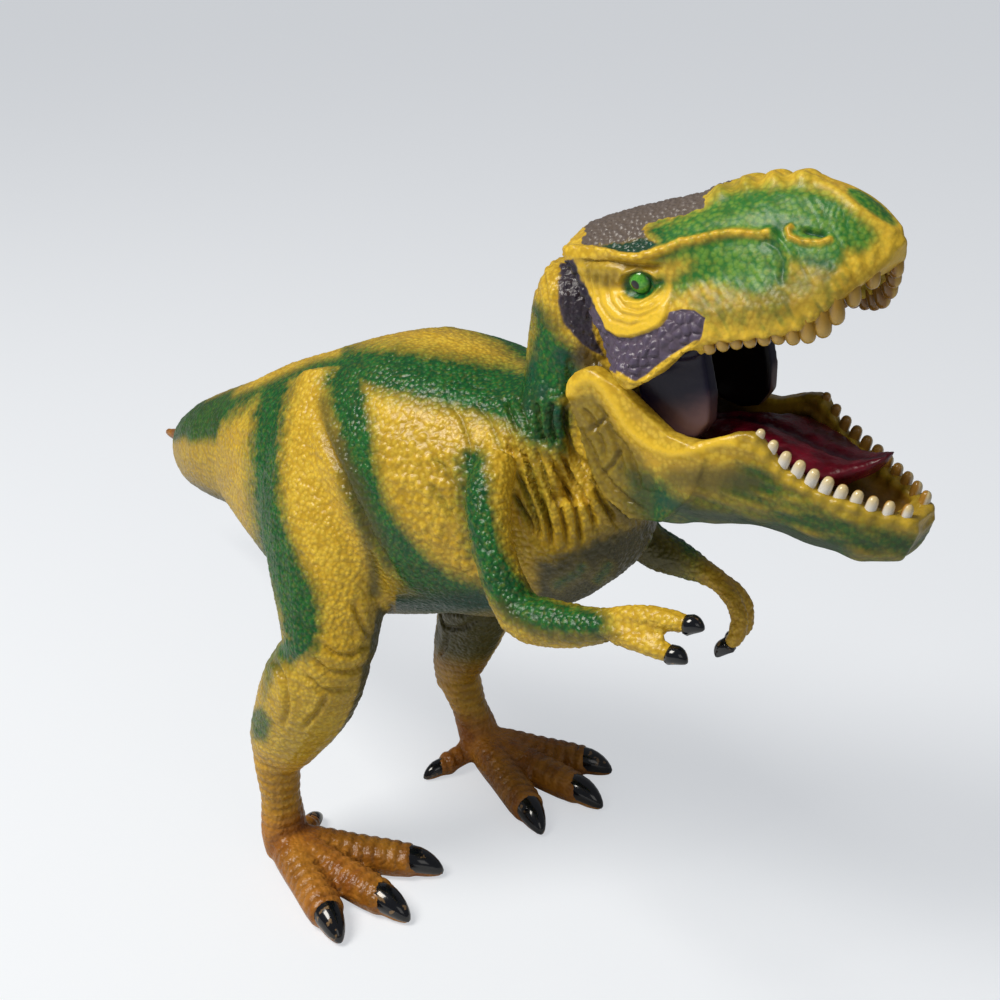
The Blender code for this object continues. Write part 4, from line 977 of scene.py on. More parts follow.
# Painted shade: olive under the brow behind the eye
lay("olive", 0.45 * patch(spots, BROW_SHADE, 12) * skull)
lay("green", line(spots, (EYE_SPOT, *EYE_FRONT), 8, 0.0) * skull)
lay("green", (1 - step(eye_gap, 12, 17)) * skull)

outside = step(normals[:, 1] * np.sign(places[:, 1]), -0.1, 0.35)
flap = patch(spots, FLAP, 3.5) * skull
lumps = pebbles(points, 1.5, 51)
relief += flap * outside * (FLAP_LUMPS * (lumps - 0.55) - 0.15)
lay("purple", flap)
lift("green", flap)
lift("bright", 0.9 * flap)
lay("hollow", flap * (1 - lumps) * 0.45)
rim = line(spots, FLAP_RIM, 2.8, 0.1) * skull
relief += FLAP_RIM_HEIGHT * rim * outside
lift("purple", np.clip(1.4 * rim, 0, 1))
lay("bright", rim)
black = patch(spots + quick[:, None] * 2, BLACK_PATCH, 6) * (1 - flap)
black = black * np.clip(SOFT["skull"] + SOFT["neck"], 0, 1)
relief += black * FLAP_LUMPS * (lumps - 0.5)
lay("black", 0.75 * black)
lay("purple", black)
lift("green", black)

relief += NOSTRIL_RIM_HEIGHT * line(spots, NOSTRIL_RIM, 3.0, 0.1) * skull
lift("green", np.clip(1.2 * line(spots, NOSTRIL_RIM, 3.2, 0.05), 0, 1) * skull)
lift("teal", line(spots, NOSTRIL_RIM, 3.2, 0.05) * skull)
hole = line(spots, NOSTRIL, 2.6, 0.25) * skull
relief -= NOSTRIL_DEPTH * hole
lay("teal", 0.7 * hole)
preorbital = line(spots, DARK_GREEN[0], 4.5, 0.3) * skull
relief -= 0.4 * preorbital
relief += 0.3 * line(spots, tuple((x + 8, y - 3) for x, y in DARK_GREEN[0]), 5, 0.2) * skull

lip_gap, lip_share = near_route(spots, LIP_LINE)
scallops = 0.5 - 0.5 * np.cos(2 * math.pi * lip_share * LIP_SCALLOPS)
near_lip = np.exp(-((lip_gap / 6.0) ** 2)) * skull
relief += LIP_SCALLOP_HEIGHT * near_lip * (scallops - 0.3)
lay("bright", 0.6 * line(spots, LIP_BAND, 9, 0.02) * skull)
lift("green", 0.8 * line(spots, LIP_BAND, 8, 0.02) * skull)
streaks = wrinkles(spots, (0.92, 0.4), 6.0, 0.7 * slow + 0.4 * middling)
cheek = (muzzle + patch(spots, HEAD_GREEN, 16) * skull * 0.7) * (1 - flap)
relief += 0.07 * cheek * (streaks - 0.6) * step(spots[:, 0], 660, 690) * step(slow, -0.3, 0.5)
turned = np.array(((0.87, 0.5), (-0.5, 0.87)))
strokes = noise(np.column_stack(((spots @ turned) * (0.22, 0.06), slow * 0)), 1.0, 81)
relief += 0.09 * cheek * strokes
lay("green", 0.55 * cheek * (1 - eye_patch) * step(-strokes, -0.3, 0.7))
lay("hollow", 0.4 * cheek * step(-strokes, 0.0, 0.8))
lay("olive", 0.46 * muzzle * (1 - flap) * (1 - eye_patch))
# Painted highlight: the front of the snout is lighter and brighter
snout_tip_highlight = skull * step(spots[:, 0], 868, 896) * (1 - step(spots[:, 1], 300, 320))
lift("olive", 0.7 * snout_tip_highlight)
lay("bright", 0.7 * snout_tip_highlight)
lay("grain", 0.22 * skull * (1 - roof))


# Vinyl
# One finish for all the skins: satin vinyl, yellow in the mass, sprayed and dry-brushed, with a dark wash
# and painted shade in its hollows.


def remapped(tree, value, low, high, new_low=0.0, new_high=1.0):
    """A value stretched from one span to another, and kept inside it."""
    node = made(tree, "MapRange", {"interpolation_type": "SMOOTHSTEP"}, Value=value)
    node.inputs["From Min"].default_value = low
    node.inputs["From Max"].default_value = high
    node.inputs["To Min"].default_value = new_low
    node.inputs["To Max"].default_value = new_high
    return node.outputs[0]


def node_group(name, outputs, inputs=()):
    """An empty node group with these outputs and inputs, given as pairs of a name and a socket type."""
    tree = bpy.data.node_groups.new(name, "ShaderNodeTree")
    for title, kind in inputs:
        tree.interface.new_socket(title, in_out="INPUT", socket_type="NodeSocket" + kind)
    for title, kind in outputs:
        tree.interface.new_socket(title, in_out="OUTPUT", socket_type="NodeSocket" + kind)
    return tree, tree.nodes.new("NodeGroupInput"), tree.nodes.new("NodeGroupOutput")


def carried(tree, name):
    """The numbers of this name that a mesh carries at its vertices."""
    return made(tree, "Attribute", {"attribute_name": name}).outputs["Fac"]


def clouds(tree, place, scale, detail=2.0):
    """Soft noise."""
    return made(tree, "TexNoise", Vector=place, Scale=scale, Detail=detail).outputs["Fac"]


def soft_cells(tree, place, scale, smoothness):
    """The distance from the middles of rounded cells."""
    cells = made(tree, "TexVoronoi", {"feature": "SMOOTH_F1"}, Vector=place, Scale=scale,
                 Smoothness=smoothness)
    return cells.outputs["Distance"]


def bumped(tree, given, height, distance, strength):
    """Gives a node group the normal of a bump of this height."""
    bump = made(tree, "Bump", Height=height, Distance=distance, Strength=strength)
    tree.links.new(bump.outputs["Normal"], given.inputs["Normal"])


YELLOW = colour_of(234, 196, 62)
YELLOW_DEEP = colour_of(206, 165, 42)
GREEN = colour_of(2, 78, 38)
GREEN_LIGHT = colour_of(24, 106, 42)
SNOUT_GREEN = colour_of(46, 114, 44)
SNOUT_LIGHT = colour_of(98, 146, 50)
TEAL = colour_of(6, 70, 56)
OLIVE = colour_of(78, 76, 36)
BROWN = colour_of(182, 118, 42)
BROWN_DEEP = colour_of(142, 82, 28)
GREY = colour_of(108, 98, 94)
PURPLE = colour_of(92, 82, 104)
BRIGHT = colour_of(242, 200, 56)
BLACK = colour_of(22, 20, 26)
WASH_AND_SHADE = colour_of(84, 64, 20)

painted_vinyl, _, given = node_group("painted vinyl", (("Color", "Color"), ("Roughness", "Float")))
tree = painted_vinyl
place = made(tree, "TexCoord").outputs["Object"]
cloud = clouds(tree, place, 190.0, 3.0)
spray = clouds(tree, place, 1500.0)
grains = made(tree, "TexVoronoi", Vector=place, Scale=1150.0).outputs["Distance"]
coat = {name: carried(tree, name) for name in PAINTS}
mottle = remapped(tree, cloud, 0.35, 0.65)
# Lighter on the tops of the fine grain and darker between them: dry-brushed paint, and painted shade between
# the grains
raised = remapped(tree, mathed(tree, "MULTIPLY_ADD", mottle, -0.25, grains), 0.62, 0.05)
speckle = mathed(tree, "MULTIPLY_ADD", spray, 0.5, -0.25)
yellow = mixed(tree, raised, YELLOW_DEEP, YELLOW)
yellow = mixed(tree, remapped(tree, coat["bright"], 0.1, 0.9), yellow, BRIGHT)
green_now = mixed(tree, raised, GREEN, GREEN_LIGHT)
green_now = mixed(tree, coat["snout"], green_now, mixed(tree, raised, SNOUT_GREEN, SNOUT_LIGHT))
green_share = made(tree, "Clamp", Value=mathed(tree, "ADD", coat["green"], speckle)).outputs[0]
shade = mixed(tree, green_share, yellow, green_now)
shade = mixed(tree, remapped(tree, coat["teal"], 0.1, 0.9), shade, TEAL)
shade = mixed(tree, remapped(tree, coat["olive"], 0.0, 1.0), shade, OLIVE)
shade = mixed(tree, remapped(tree, coat["brown"], 0.05, 0.95), shade, mixed(tree, mottle, BROWN_DEEP, BROWN))
shade = mixed(tree, remapped(tree, mathed(tree, "ADD", coat["grey"], speckle), 0.3, 0.7), shade, GREY)
shade = mixed(tree, remapped(tree, coat["purple"], 0.2, 0.8), shade, PURPLE)
shade = mixed(tree, coat["black"], shade, BLACK)
# A dark wash and painted shade in the hollows and creases, mixed towards a dull brown
wash_and_shade = mathed(tree, "MULTIPLY", coat["hollow"], 0.75)
shade = mixed(tree, wash_and_shade, shade, mixed(tree, 0.55, shade, WASH_AND_SHADE))
tree.links.new(shade, given.inputs["Color"])
roughness = mathed(tree, "MULTIPLY_ADD", coat["snout"], 0.14, remapped(tree, cloud, 0.2, 0.8, 0.26, 0.38))
tree.links.new(roughness, given.inputs["Roughness"])

vinyl_grain, _, given = node_group("vinyl grain", (("Normal", "Vector"),))
tree = vinyl_grain
place = made(tree, "TexCoord").outputs["Object"]
grains = mathed(tree, "SUBTRACT", 1.0, soft_cells(tree, place, 1150.0, 0.35))
amount = mathed(tree, "MULTIPLY_ADD", carried(tree, "grain"), 0.9, 0.1)
bumps = mathed(tree, "MULTIPLY", grains, amount)
bumps = mathed(tree, "MULTIPLY_ADD", clouds(tree, place, 3200.0), 0.12, bumps)
bumped(tree, given, bumps, 0.0003, 0.9)


def finish(name, groups=(), **values):
    """A Principled material. Outputs of the node groups feed the inputs of the same name."""
    material = bpy.data.materials.new(name)
    material.use_nodes = True
    tree = material.node_tree
    shader = tree.nodes["Principled BSDF"]
    for key, value in values.items():
        shader.inputs[key.replace("_", " ")].default_value = value
    names = {"Color": "Base Color"}
    for group in groups:
        node = tree.nodes.new("ShaderNodeGroup")
        node.node_tree = group
        for output in node.outputs:
            tree.links.new(output, shader.inputs[names.get(output.name, output.name)])
    return material


skin_finish = finish("painted_vinyl", (painted_vinyl, vinyl_grain), Specular_IOR_Level=0.34,
                     Coat_Weight=0.11, Coat_Roughness=0.18)


def carry_paint(mesh, coats):
    """Keeps the coats of paint on the mesh, one number a vertex for each."""
    for name, values in coats.items():
        layer = mesh.attributes.new(name, "FLOAT", "POINT")
        layer.data.foreach_set("value", np.clip(values, 0, 1).astype(np.float32))


points += normals * relief[:, None]
points[:, 2] = np.maximum(points[:, 2], 0)
set_points(skin.data, points)


# The skin parted into its castings
# Each casting gets its own closed skin, split along the glued seams, with a flat cap inside each joint.


def face_corners(mesh):
    """The vertex at each face corner, and how many corners each face has."""
    corners = np.empty(len(mesh.loops), int)
    mesh.loops.foreach_get("vertex_index", corners)
    totals = np.empty(len(mesh.polygons), int)
    mesh.polygons.foreach_get("loop_total", totals)
    return corners, totals


def closed_loops(run):
    """Directed edges, as a dictionary from vertex to next vertices, chained into closed loops."""
    found = []
    while run:
        first = next(iter(run))
        loop = [first]
        while True:
            following = run[loop[-1]].pop()
            if not run[loop[-1]]:
                del run[loop[-1]]
            if following == first or following not in run:
                break
            loop.append(following)
        if len(loop) > 2:
            found.append(loop)
    return found


def parted(name, chosen):
    """A closed piece made of the chosen faces of the skin."""
    corners, totals = face_corners(skin.data)
    kept, local = np.unique(corners[np.repeat(chosen, totals)], return_inverse=True)
    sizes = totals[chosen]
    starts = np.concatenate(((0,), np.cumsum(sizes)))[:-1]
    following = np.arange(1, len(local) + 1)
    following[starts + sizes - 1] = starts
    count = len(kept)
    forward = local * count + local[following]
    open_edges = ~np.isin(forward, local[following] * count + local)
    run = {}
    for one, other in zip(local[following][open_edges], local[open_edges]):
        run.setdefault(int(one), []).append(int(other))
    rims = closed_loops(run)
    places = list(points[kept] * MM)
    faces = [local[start : start + size] for start, size in zip(starts, sizes)]
    rim_pairs = set()
    for rim in rims:
        places.append(np.mean([places[i] for i in rim], axis=0))
        for i, one in enumerate(rim):
            other = rim[(i + 1) % len(rim)]
            faces.append((one, other, len(places) - 1))
            rim_pairs.add((min(one, other), max(one, other)))
    mesh = bpy.data.meshes.new(name)
    mesh.from_pydata(places, [], faces)
    mesh.polygons.foreach_set("use_smooth", [True] * len(mesh.polygons))
    sharp = mesh.attributes.new("sharp_edge", "BOOLEAN", "EDGE")
    pairs = np.sort(mesh_edges(mesh), axis=1)
    codes = np.array([one * len(places) + other for one, other in rim_pairs] or [-1])
    sharp.data.foreach_set("value", np.isin(pairs[:, 0] * len(places) + pairs[:, 1], codes))
    extra = np.zeros(len(places) - count)
    carry_paint(mesh, {title: np.concatenate((values[kept], extra)) for title, values in paint.items()})
    mesh.materials.append(skin_finish)
    piece = bpy.data.objects.new(name, mesh)
    bpy.context.scene.collection.objects.link(piece)
    return piece


most = np.argmax([SOFT[name] for name in SKIN_CASTINGS], axis=0)
corners, totals = face_corners(skin.data)
face_starts = np.concatenate(((0,), np.cumsum(totals)))[:-1]
face_casting = most[corners[face_starts]]
for index, name in enumerate(SKIN_CASTINGS):
    piece = parted(name + "_skin", face_casting == index)
    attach(piece, "figure")
    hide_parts(name)


# Eyes
# Glossy painted balls that sit in the sockets of the head, green with a round black pupil.

EYE_RADIUS = 2.3
EYE_SUNK = 2.0
PUPIL_LIFT = 0.8
PUPIL_SPOT = (634.6, 284)


def seen_at(spot, tree):
    """The point and facing of the surface that the photograph shows at this pixel."""
    scale = PHOTO_SIZE * CAMERA_LENS / CAMERA_SENSOR
    across, down = (spot[0] - PHOTO_SIZE / 2) / scale, (spot[1] - PHOTO_SIZE / 2) / scale
    toward = look + look_right * across - look_up * down
    place, facing, _, _ = tree.ray_cast(Vector(eye_point * MM), Vector(toward).normalized())
    return np.array(place) / MM, np.array(facing)


def new_piece(name, places, faces, material, body):
    """A smooth piece from points in millimetres, riding on a body."""
    mesh = bpy.data.meshes.new(name)
    mesh.from_pydata([Vector(place) * MM for place in places], [], faces)
    mesh.polygons.foreach_set("use_smooth", [True] * len(mesh.polygons))
    mesh.materials.append(material)
    piece = bpy.data.objects.new(name, mesh)
    bpy.context.scene.collection.objects.link(piece)
    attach(piece, body)
    return piece


eye_paint, _, given = node_group("painted eye", (("Color", "Color"),))
tree = eye_paint
gaze = carried(tree, "gaze")
flecks = clouds(tree, made(tree, "TexCoord").outputs["Object"], 2600.0)
iris = mixed(tree, remapped(tree, flecks, 0.3, 0.7), colour_of(72, 156, 50), colour_of(104, 184, 66))
iris = mixed(tree, remapped(tree, gaze, 0.50, 0.72), iris, colour_of(16, 70, 34))
iris = mixed(tree, remapped(tree, gaze, 0.25, 0.19), iris, colour_of(8, 10, 8))
tree.links.new(iris, given.inputs["Color"])
eye_finish = finish("painted_eye", (eye_paint,), Roughness=0.16, Coat_Weight=0.3, Coat_Roughness=0.05)

head_tree = BVHTree.FromPolygons(
    [vert.co for vert in frame["nodes"]["head_and_neck"].data.vertices],
    [face.vertices for face in frame["nodes"]["head_and_neck"].data.polygons],
)
hit, facing = seen_at(EYE_SPOT, head_tree)
pupil, _ = seen_at(PUPIL_SPOT, head_tree)
sunk = hit - facing * EYE_SUNK
for name, side in (("right_eye", 1), ("left_eye", -1)):
    mirror = np.array((1, side, 1))
    centre = (sunk - (0, HINGE[1], 0)) * mirror + (0, HINGE[1], 0)
    aim = (pupil + facing * PUPIL_LIFT - sunk) * mirror
    aim /= np.linalg.norm(aim)
    ball = bmesh.new()
    bmesh.ops.create_uvsphere(ball, u_segments=40, v_segments=28, radius=EYE_RADIUS)
    places = [centre + np.array(vert.co) for vert in ball.verts]
    faces = [[vert.index for vert in face.verts] for face in ball.faces]
    ball.free()
    eye = new_piece(name, places, faces, eye_finish, "figure")
    cosines = (np.array(places) - centre) @ aim / EYE_RADIUS
    carry_paint(eye.data, {"gaze": np.arccos(np.clip(cosines, -1, 1)) / (math.pi / 2)})


# Mouth lining
# A thin dark casting glued into the head: an arched palate with a smooth purple-grey pad inside each cheek.

LINING_VOXEL = 0.36

wet_lining, _, given = node_group("mouth lining", (("Color", "Color"), ("Normal", "Vector")))
tree = wet_lining
place = made(tree, "TexCoord").outputs["Object"]
ripple = clouds(tree, place, 420.0, 3.0)
low = mathed(tree, "MULTIPLY_ADD", ripple, 0.4, carried(tree, "pad_low"))
shade = mixed(tree, carried(tree, "pad"), colour_of(14, 9, 14), colour_of(26, 23, 48))
shade = mixed(tree, remapped(tree, low, 0.4, 1.2), shade, colour_of(100, 72, 72))
tree.links.new(shade, given.inputs["Color"])
bumped(tree, given, ripple, 0.0002, 0.5)
lining_finish = finish("mouth_lining", (wet_lining,), Roughness=0.3, Specular_IOR_Level=0.3)


def dressed(piece, coats, material):
    """Gives a piece its coats of paint and its one material."""
    carry_paint(piece.data, coats)
    piece.data.materials.clear()
    piece.data.materials.append(material)


lining = remeshed("mouth_lining_skin", node_copy(("mouth_lining",), 0.0), LINING_VOXEL)
spots_in = relaxed(mesh_points(lining.data), mesh_edges(lining.data), 5)
set_points(lining.data, spots_in)
places = pitched(spots_in)
side_gap = np.abs(places[:, 1])
on_pad = step(side_gap, 6.2, 7.4) * step(places[:, 0], 5.5, 7.5) * (1 - step(places[:, 0], 20.6, 21.4))
on_pad *= 1 - step(places[:, 2], 5.5, 9.5)
facing = mesh_normals(lining.data)
on_pad *= step(facing[:, 1] * np.sign(places[:, 1]) + 0.4 * np.abs(facing[:, 0]), -0.2, 0.3)
dressed(lining, {"pad": on_pad, "pad_low": on_pad * (1 - step(places[:, 2], -7.5, 1.5))}, lining_finish)
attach(lining, "figure")
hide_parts("mouth_lining")


# Upper teeth
# Blunt pegs moulded with the head along its lip, painted in a pale ochre that is lighter at their tips.

UPPER_TEETH = (0.45, 0.48, 0.48, 0.50, 0.52, 0.56, 0.66, 0.82, 1.00, 0.94, 0.80, 0.70)
UPPER_TOOTH_LENGTH = 4.6
UPPER_TOOTH_RADIUS = 1.45
UPPER_TEETH_SPAN = (23.8, 47.8)
TOOTH_ROOT = 1.4
TOOTH_SETBACK = 1.3
TOOTH_SIDES = 14
# How broad a tooth is along its length, root to tip
TOOTH_SHARES = ((0.0, 1.0), (0.3, 1.0), (0.55, 0.98), (0.74, 0.93), (0.87, 0.80), (0.95, 0.58), (0.99, 0.32),
                (1.0, 0.12))

tooth_paint, taken, given = node_group(
    "tooth paint", (("Color", "Color"),), (("Root", "Color"), ("Tip", "Color"), ("Inside", "Color"))
)
tree = tooth_paint
stain = clouds(tree, made(tree, "TexCoord").outputs["Object"], 900.0)
near_tip = mathed(tree, "MULTIPLY_ADD", stain, 0.3, carried(tree, "tip"))
shade = mixed(tree, remapped(tree, near_tip, 0.6, 1.15), taken.outputs["Root"], taken.outputs["Tip"])
shade = mixed(tree, remapped(tree, carried(tree, "outside"), 0.35, 0.6), taken.outputs["Inside"], shade)
tree.links.new(shade, given.inputs["Color"])


def tooth_finish(name, root, tip, inside):
    """A glossy tooth material: its colours at the root and the tip outside, and on the inside."""
    material = finish(name, (tooth_paint,), Roughness=0.18, Coat_Weight=0.4, Coat_Roughness=0.08)
    node = next(node for node in material.node_tree.nodes if node.type == "GROUP")
    node.inputs["Root"].default_value = root
    node.inputs["Tip"].default_value = tip
    node.inputs["Inside"].default_value = inside
    return material


def tube_faces(first, rings, sides):
    """The faces of a closed tube whose rings of vertices follow one another from the first one on."""
    faces = []
    for low in range(first, first + (rings - 1) * sides, sides):
        for k in range(sides):
            j = (k + 1) % sides
            faces.append([low + k, low + j, low + sides + j, low + sides + k])
    last = first + (rings - 1) * sides
    return faces + [list(range(first, first + sides))[::-1], list(range(last, last + sides))]


def tooth_row(name, lip, span, shares, length, radius, pitch, way, material, body):
    """A row of teeth on each side. way is 1 for teeth that point up and -1 for teeth that hang."""
    forwards, halves, heights = np.array(lip).T
    places, faces, tips, outsides = [], [], [], []
    for side in (1, -1):
        for i, share in enumerate(shares):
            nose = i / (len(shares) - 1)
            forward = span[0] + (span[1] - span[0]) * nose
            seat = (forward, np.interp(forward, forwards, halves), np.interp(forward, forwards, heights))
            inward = np.array((-nose * nose, nose * nose - 1.4, 0))
            inward /= np.linalg.norm(inward)
            seat = np.array(seat) + inward * TOOTH_SETBACK
            broad = radius * (share + 1) / 2
            tall = length * share
            first = len(places)
            for along, wide in TOOTH_SHARES:
                height = along * (tall + TOOTH_ROOT) - TOOTH_ROOT
                lean = inward * 0.10 * max(height, 0)
                for k in range(TOOTH_SIDES):
                    angle = 2 * math.pi * k / TOOTH_SIDES
                    place = seat + lean + broad * wide * np.array((math.cos(angle), math.sin(angle), 0))
                    place[2] += way * height
                    place[1] *= side
                    places.append(place)
                    tips.append(along)
                    outsides.append(0.5 - 0.5 * (inward[0] * math.cos(angle) + inward[1] * math.sin(angle)))
            shell = tube_faces(first, len(TOOTH_SHARES), TOOTH_SIDES)
            faces += shell if side * way > 0 else [face[::-1] for face in shell]
    row = new_piece(name, unpitched(places, pitch), faces, material, body)
    carry_paint(row.data, {"tip": np.array(tips), "outside": np.array(outsides)})


upper_finish = tooth_finish(
    "upper_tooth", root=colour_of(174, 134, 48), tip=colour_of(206, 168, 82), inside=colour_of(150, 106, 40)
)
tooth_row("upper_teeth", UPPER_LIP, UPPER_TEETH_SPAN, UPPER_TEETH, UPPER_TOOTH_LENGTH, UPPER_TOOTH_RADIUS,
          HEAD_PITCH, -1, upper_finish, "figure")


# Lower jaw
# One hollow beam of vinyl that turns on the steel pin, with a smooth raised rim and streaks of green below.

JAW_PITCH = -math.radians(18)
JAW_VOXEL = 0.34
LOWER_GUM = 0.7
LOWER_TEETH_SPAN = (27.6, 51.9)
LOWER_GUM_SCALLOPS = 10
LOWER_SCALLOP_HEIGHT = 0.34
JAW_FOLD = (0.7, 2.6, 0.2)
JAW_SWELL = (0.3, 6, 0.2)
JAW_RIM_HEIGHT = 0.42
JAW_STREAKS = 0.34
# The lower lip in the jaw's own frame: forward from the hinge, half width, up from the hinge
LOWER_LIP = ((8, 14.1, 1.6), (13.3, 14.2, 1.6), (19.6, 13.8, 2.8), (26.5, 12.3, 8.2), (33.4, 11.3, 5.2),
             (41.3, 9.6, 4.4), (48.2, 6.8, 4.6), (53.0, 2.9, 5.2))
JAW_RIM = ((569, 402), (574, 386), (586, 379), (597, 381), (606, 392), (615, 406), (625, 424), (638, 437),
           (654, 448), (672, 454), (690, 452), (708, 446), (727, 441), (742, 446))
JAW_RECESS = ((562, 400), (592, 390), (604, 402), (622, 434), (642, 452), (655, 480), (655, 525), (625, 525),
              (595, 490), (568, 440))
JAW_FOLDS = (
    ((578, 404), (592, 420), (600, 440), (604, 462)),
    ((590, 398), (604, 416), (614, 438), (620, 462), (622, 484)),
    ((576, 424), (588, 444), (598, 466), (610, 486)),
    ((612, 428), (626, 450), (636, 474), (640, 496)),
    ((600, 470), (614, 488), (630, 502), (646, 512)),
    ((622, 446), (614, 462), (600, 476)),
    ((606, 414), (598, 428), (584, 434)),
)
JAW_GREEN = ((622, 466), (640, 470), (662, 476), (690, 494), (715, 492), (744, 464), (762, 464), (790, 482),
             (830, 502), (870, 516), (905, 524), (926, 532), (912, 570), (850, 582), (780, 564), (730, 549),
             (690, 544), (655, 540), (628, 505))
JAW_SIDE = ((664, 466), (700, 462), (745, 462), (770, 478), (760, 500), (700, 500), (664, 484))
JAW_OLIVE = ((748, 466), (790, 488), (840, 508), (885, 522), (918, 530))
JAW_DARK = ((640, 486), (665, 502), (700, 514), (740, 520), (800, 540), (860, 556))


def without_lower_teeth(points):
    """The teeth of the CAD jaw cut down to the scallops of a gum."""
    lip = np.array(LOWER_LIP)
    places = pitched(points, JAW_PITCH)
    edge = np.interp(places[:, 0], lip[:, 0], lip[:, 2])
    tooth = (places[:, 0] > 26.2) & (places[:, 2] > edge + LOWER_GUM)
    places[tooth, 2] = edge[tooth] + LOWER_GUM
    return unpitched(places, JAW_PITCH)


jaw = node_copy(("lower_jaw",), 0.0, {"lower_jaw": without_lower_teeth})
jaw = remeshed("lower_jaw_skin", jaw, JAW_VOXEL)
edges = mesh_edges(jaw.data)
points = relaxed(mesh_points(jaw.data), edges, 6)
set_points(jaw.data, points)
normals = mesh_normals(jaw.data)
places = pitched(points, JAW_PITCH)
spots = photo_pixels(right_twin(points))
slow = noise(points, 9.0, 61)
middling = noise(points, 3.2, 62)
quick = noise(points, 1.1, 63)
small_pebbles = pebbles(points, 1.2, 64)
relief = np.zeros(len(points))
paint = {name: np.zeros(len(points)) for name in PAINTS}

lip = np.array(LOWER_LIP)
below_lip = np.interp(places[:, 0], lip[:, 0], lip[:, 2]) - places[:, 2]
within = np.interp(places[:, 0], lip[:, 0], lip[:, 1]) - np.abs(places[:, 1])
upwards = normals @ pitched_axes(JAW_PITCH)[1]
inwards = -normals[:, 1] * np.sign(places[:, 1])
inner = np.clip(step(upwards, 0.0, 0.4) + step(inwards, 0.1, 0.5), 0, 1)
inner = inner * step(within, 0.8, 1.8) * step(below_lip, 0.2, 1.2)
turned = np.array(((0.94, -0.34), (0.34, 0.94)))
streaks = 0.55 + 0.9 * noise(np.column_stack(((spots @ turned) * (0.035, 0.16), slow * 0)), 1.0, 65)
far = step(spots[:, 0], 650, 700)
lay("green", patch(spots + quick[:, None] * 4, JAW_GREEN, 28) * (1 - 0.4 * far * streaks))
lay("teal", 0.7 * line(spots, JAW_DARK, 9, 0.15))
lay("olive", 0.62 * patch(spots, JAW_RECESS, 16))
lay("olive", 0.5 * line(spots, JAW_OLIVE, 10, 0.1))
lay("olive", 0.75 * patch(spots, JAW_SIDE, 30))
lay("olive", 0.16 * (1 - step(below_lip, -0.5, 0.5)) + 0.36 * far)
# Painted shade: teal on the skin of the jaw that faces down
lay("teal", 0.55 * step(-normals[:, 2], 0.45, 0.9))
lay("olive", 0.35 * step(spots[:, 0], 905, 930))
rim = line(spots, JAW_RIM, 6.0, 0.04)
lift("olive", rim)
lift("green", rim)
lay("bright", 0.8 * rim)
lay("bright", 0.35 * step(middling, 0.0, 0.8) * far)
outside = step(normals[:, 1] * np.sign(places[:, 1]), 0.0, 0.4)
relief += JAW_RIM_HEIGHT * rim * outside
recess = patch(spots, JAW_RECESS, 14) * (1 - rim)
relief += recess * (0.22 * (small_pebbles - 0.5) - 0.2)
wander = middling[:, None] * 1.6
relief += folded(JAW_FOLDS, recess, JAW_FOLD, JAW_SWELL, 1, wander)
relief += JAW_STREAKS * far * (1 - rim) * (streaks - 0.6) * step(places[:, 0], 14, 24)
lay("hollow", far * (1 - streaks) * 0.3)
tooth_turn = (places[:, 0] - LOWER_TEETH_SPAN[0]) / np.ptp(LOWER_TEETH_SPAN) * LOWER_GUM_SCALLOPS
sockets = 0.5 + 0.5 * np.cos(2 * math.pi * tooth_turn)
near_lip = np.exp(-(((below_lip - 0.6) / 1.3) ** 2)) * step(places[:, 0], 26, 28)
relief += LOWER_SCALLOP_HEIGHT * near_lip * (sockets - 0.35)
lay("bright", 0.7 * near_lip)
lift("green", 0.8 * near_lip)
relief += 0.10 * middling * far
lay("brown", 0.5 * inner)
lay("black", 0.92 * inner * step(below_lip, 2.2, 4.2))
lay("hollow", 0.5 * inner)
lay("grain", 0.14 * (1 - inner))
set_points(jaw.data, points + normals * relief[:, None])
dressed(jaw, paint, skin_finish)
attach(jaw, "jaw")
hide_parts("lower_jaw")


# Lower teeth
# Pearly pegs moulded with the jaw along its lip.

LOWER_TEETH = (0.60, 0.75, 0.90, 1.00, 0.96, 1.00, 0.95, 0.92, 0.90, 0.84, 0.80)
LOWER_TOOTH_LENGTH = 2.3
LOWER_TOOTH_RADIUS = 1.0

lower_finish = tooth_finish(
    "lower_tooth", root=colour_of(222, 218, 210), tip=colour_of(222, 200, 146), inside=colour_of(178, 132, 56)
)
tooth_row("lower_teeth", LOWER_LIP, LOWER_TEETH_SPAN, LOWER_TEETH, LOWER_TOOTH_LENGTH, LOWER_TOOTH_RADIUS,
          JAW_PITCH, 1, lower_finish, "jaw")


# Tongue
# A wet-looking maroon casting glued to the jaw, grooved along its middle and curled up at its tip.

TONGUE_VOXEL = 0.34
TONGUE_WIDER = 0.28
TONGUE_CURL = 2.6

wet_tongue, _, given = node_group("wet tongue", (("Color", "Color"), ("Normal", "Vector")))
tree = wet_tongue
place = made(tree, "TexCoord").outputs["Object"]
blotch = remapped(tree, clouds(tree, place, 300.0, 3.0), 0.35, 0.65)
shade = mixed(tree, blotch, colour_of(76, 4, 20), colour_of(112, 12, 34))
# Painted shade: the groove along the middle of the tongue is darker
shade = mixed(tree, mathed(tree, "MULTIPLY", carried(tree, "groove"), 0.7), shade, colour_of(26, 6, 24))
tree.links.new(shade, given.inputs["Color"])
bumped(tree, given, soft_cells(tree, place, 1400.0, 0.5), 0.00015, 0.5)
tongue_finish = finish("wet_tongue", (wet_tongue,), Roughness=0.36, Specular_IOR_Level=0.35)

